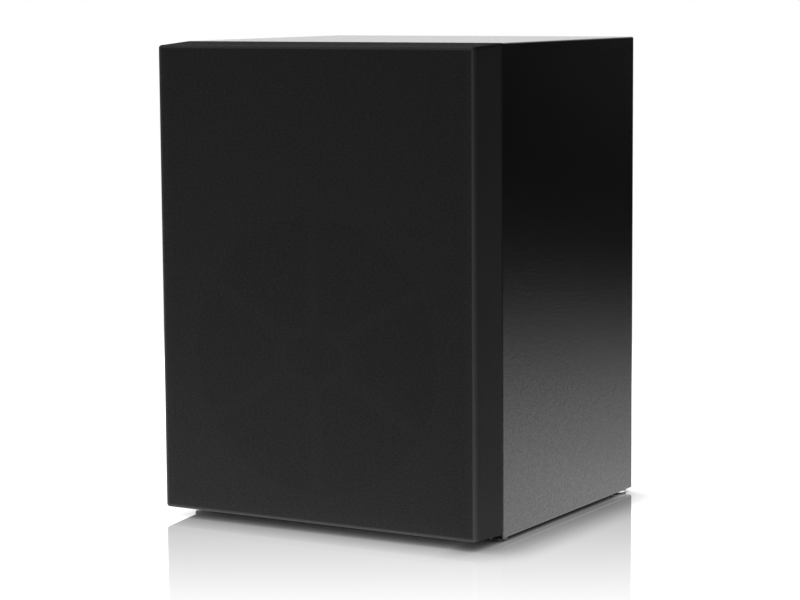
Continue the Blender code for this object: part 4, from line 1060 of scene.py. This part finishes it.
def make_floor():
    """A round white table top that fades out: x = r cos t and y = r sin t.

    It glows, with a painted contact shadow round the loudspeaker's foot, and mirrors faintly, also
    painted darker there. Glossy surfaces see it out to its rim."""
    r = np.linspace(0, FLOOR_RADIUS, 40)[None, :]
    t = np.linspace(0, TURN, 96, endpoint=False)[:, None]
    points = np.stack([r * np.cos(t), r * np.sin(t), 0 * r * t], -1)
    floor = surface("floor", points)
    if floor.data.polygons[0].normal.z < 0:
        floor.data.flip_normals()
    material = bpy.data.materials.new("pale_floor")
    material.use_nodes = True
    material.node_tree.nodes.clear()
    f = Nodes(material.node_tree, "Object")
    rays = f.node("LightPath").outputs
    outside = [
        f.math("MAXIMUM", f.math("SUBTRACT", f.away(axis), half), 0.0)
        for axis, half in enumerate(FOOTPRINT)
    ]
    gap = f.hypot(*outside)
    contact = f.node("AmbientOcclusion", samples=16)
    contact.inputs["Distance"].default_value = CONTACT_REACH
    shadow = contact.outputs["AO"]
    darkness = f.span(f.along(0), 0.8, 2.2, 0.10, 0.14)
    mirror = f.node("BsdfGlossy")
    mirror.inputs["Roughness"].default_value = MIRROR_ROUGHNESS
    # painted shadow: the floor's mirror is darkened by the same occlusion near the loudspeaker
    lighter = f.math("SUBTRACT", darkness, 0.7)
    f.link(f.math("POWER", shadow, lighter), mirror.inputs["Color"])
    across = f.math("DIVIDE", f.along(0), TABLE_SIZE[0])
    along = f.math("DIVIDE", f.math("SUBTRACT", f.along(1), TABLE_MIDDLE_Y), TABLE_SIZE[1])
    edge = f.product(
        f.span(f.hypot(across, along), 0.0, 1.0, 0.72, 1.28, smooth=True),
        f.math("MAXIMUM", rays["Is Camera Ray"], rays["Is Diffuse Ray"]),
    )
    light = floor_light(f, rays, shadow, darkness, gap)
    glossy = f.blend(floor_fade(f, rays, gap), light, mirror)
    f.finish(f.blend(edge, glossy, f.node("BsdfTransparent")), "Material")
    material.cycles.emission_sampling = "NONE"
    floor.data.materials.append(material)


def make_surroundings():
    """White behind the view; a pale backdrop, a dim room and a soft front for everything else."""
    world = bpy.data.worlds.new("studio")
    bpy.context.scene.world = world
    world.use_nodes = True
    world.node_tree.nodes.clear()
    f = Nodes(world.node_tree, "Generated")

    def lobe(towards, start, full, strength):
        """Light from one way. It starts and is full at these cosines of the angle from it."""
        closeness = f.total(*(f.product(f.along(axis), towards[axis]) for axis in (0, 1, 2)))
        return f.span(closeness, 0.0, strength, start, full, smooth=True)

    room = f.node("Background")
    total = f.total(
        lobe((-0.50, 0.85, 0.15), 0.62, 0.88, 1.25),
        lobe((-0.45, -0.85, 0.25), 0.60, 0.97, 0.85),
        lobe((-0.20, 0.20, 0.96), 0.70, 0.97, 0.25),
        lobe((0.86, -0.50, 0.05), 0.955, 0.99, 1.2),
        0.006,
    )
    f.link(total, room.inputs["Strength"])
    sheet = f.node("Background")
    for background in (room, sheet):
        background.inputs["Color"].default_value = (1, 1, 1, 1)
    f.finish(f.blend(f.node("LightPath").outputs["Is Camera Ray"], room, sheet), "World")


def make_light():
    """One soft box over the left shoulder, low in strength."""
    place, aim = Vector((-1.5, -0.7, 1.1)), Vector((0.0, 0.0, 0.16))
    data = bpy.data.lights.new("soft_box_left", "AREA")
    data.shape = "SQUARE"
    data.size = 1.0
    data.energy = 5.0
    lamp = bpy.data.objects.new("soft_box_left", data)
    lamp.location = place
    lamp.rotation_euler = (aim - place).to_track_quat("-Z", "Y").to_euler()
    lamp.visible_camera = False
    bpy.context.scene.collection.objects.link(lamp)


def make_studio():
    """Everything that is not the loudspeaker."""
    bpy.context.scene.view_settings.view_transform = "Standard"
    make_camera()
    make_floor()
    make_surroundings()
    make_light()


# --- Operators ---
class MakeStudio(bpy.types.Operator):
    """Makes the camera, the floor, the surroundings and the light"""

    bl_idname = "speaker.studio"
    bl_label = "Studio"

    def execute(self, context):
        make_studio()
        return {"FINISHED"}


class MakeFinishes(bpy.types.Operator):
    """Makes the finish of each material slot"""

    bl_idname = "speaker.finishes"
    bl_label = "Finishes"

    def execute(self, context):
        make_finishes(context.scene.speaker_sizes)
        return {"FINISHED"}


class MakeCabinet(bpy.types.Operator):
    """Makes the wrapped cabinet box"""

    bl_idname = "speaker.cabinet"
    bl_label = "Cabinet"

    def execute(self, context):
        make_cabinet(context.scene.speaker_sizes)
        return {"FINISHED"}


class MakeCloth(bpy.types.Operator):
    """Stretches the cloth over the grille's frame"""

    bl_idname = "speaker.cloth"
    bl_label = "Grille cloth"

    def execute(self, context):
        make_cloth(context.scene.speaker_sizes)
        return {"FINISHED"}


class MakeTurned(bpy.types.Operator):
    """Makes the drivers, the port, the peg cups and the feet"""

    bl_idname = "speaker.turned"
    bl_label = "Turned pieces"

    def execute(self, context):
        make_turned(context.scene.speaker_sizes)
        return {"FINISHED"}


class MakeBasket(bpy.types.Operator):
    """Makes the woofer's pressed basket"""

    bl_idname = "speaker.basket"
    bl_label = "Basket"

    def execute(self, context):
        make_basket()
        return {"FINISHED"}


class MakeScrews(bpy.types.Operator):
    """Makes the screws, with a cross in each head"""

    bl_idname = "speaker.screws"
    bl_label = "Screws"

    def execute(self, context):
        make_screws(context.scene.speaker_sizes)
        return {"FINISHED"}


class MakeTerminalCup(bpy.types.Operator):
    """Makes the dish behind the binding posts"""

    bl_idname = "speaker.terminal_cup"
    bl_label = "Terminal cup"

    def execute(self, context):
        make_terminal_cup(context.scene.speaker_sizes)
        return {"FINISHED"}


class MakePosts(bpy.types.Operator):
    """Makes the studs, the collars and the knobs"""

    bl_idname = "speaker.posts"
    bl_label = "Binding posts"

    def execute(self, context):
        make_posts(context.scene.speaker_sizes)
        return {"FINISHED"}


class MakeInductor(bpy.types.Operator):
    """Makes the crossover's wound coil"""

    bl_idname = "speaker.inductor"
    bl_label = "Inductor"

    def execute(self, context):
        make_inductor()
        return {"FINISHED"}


class MakeWadding(bpy.types.Operator):
    """Makes the soft pad under the top panel"""

    bl_idname = "speaker.wadding"
    bl_label = "Wadding"

    def execute(self, context):
        make_wadding()
        return {"FINISHED"}


class FinishBoards(bpy.types.Operator):
    """Gives the flat boards, the frame and the lead their finishes"""

    bl_idname = "speaker.boards"
    bl_label = "Plain boards"

    def execute(self, context):
        finish_boards()
        return {"FINISHED"}


OPERATORS = [
    MakeStudio,
    MakeFinishes,
    MakeCabinet,
    MakeCloth,
    MakeTurned,
    MakeBasket,
    MakeScrews,
    MakeTerminalCup,
    MakePosts,
    MakeInductor,
    MakeWadding,
    FinishBoards,
]


class SPEAKER_PT_pieces(bpy.types.Panel):
    """Lists the pieces in the sidebar"""

    bl_label = "Speaker"
    bl_idname = "SPEAKER_PT_pieces"
    bl_space_type = "VIEW_3D"
    bl_region_type = "UI"
    bl_category = "Speaker"

    def draw(self, context):
        for each in OPERATORS:
            self.layout.operator(each.bl_idname)


CLASSES = [SpeakerSizes, SpeakerColours, *OPERATORS, SPEAKER_PT_pieces]


def register():
    for each in CLASSES:
        bpy.utils.register_class(each)
    bpy.types.Scene.speaker_sizes = PointerProperty(type=SpeakerSizes)
    bpy.types.Scene.speaker_colours = PointerProperty(type=SpeakerColours)


def unregister():
    del bpy.types.Scene.speaker_colours
    del bpy.types.Scene.speaker_sizes
    for each in reversed(CLASSES):
        bpy.utils.unregister_class(each)


def main():
    register()
    bpy.ops.speaker.studio()
    bpy.ops.speaker.finishes()
    bpy.ops.speaker.cabinet()
    bpy.ops.speaker.cloth()
    bpy.ops.speaker.turned()
    bpy.ops.speaker.basket()
    bpy.ops.speaker.screws()
    bpy.ops.speaker.terminal_cup()
    bpy.ops.speaker.posts()
    bpy.ops.speaker.inductor()
    bpy.ops.speaker.wadding()
    bpy.ops.speaker.boards()


if __name__ == "__main__":
    main()
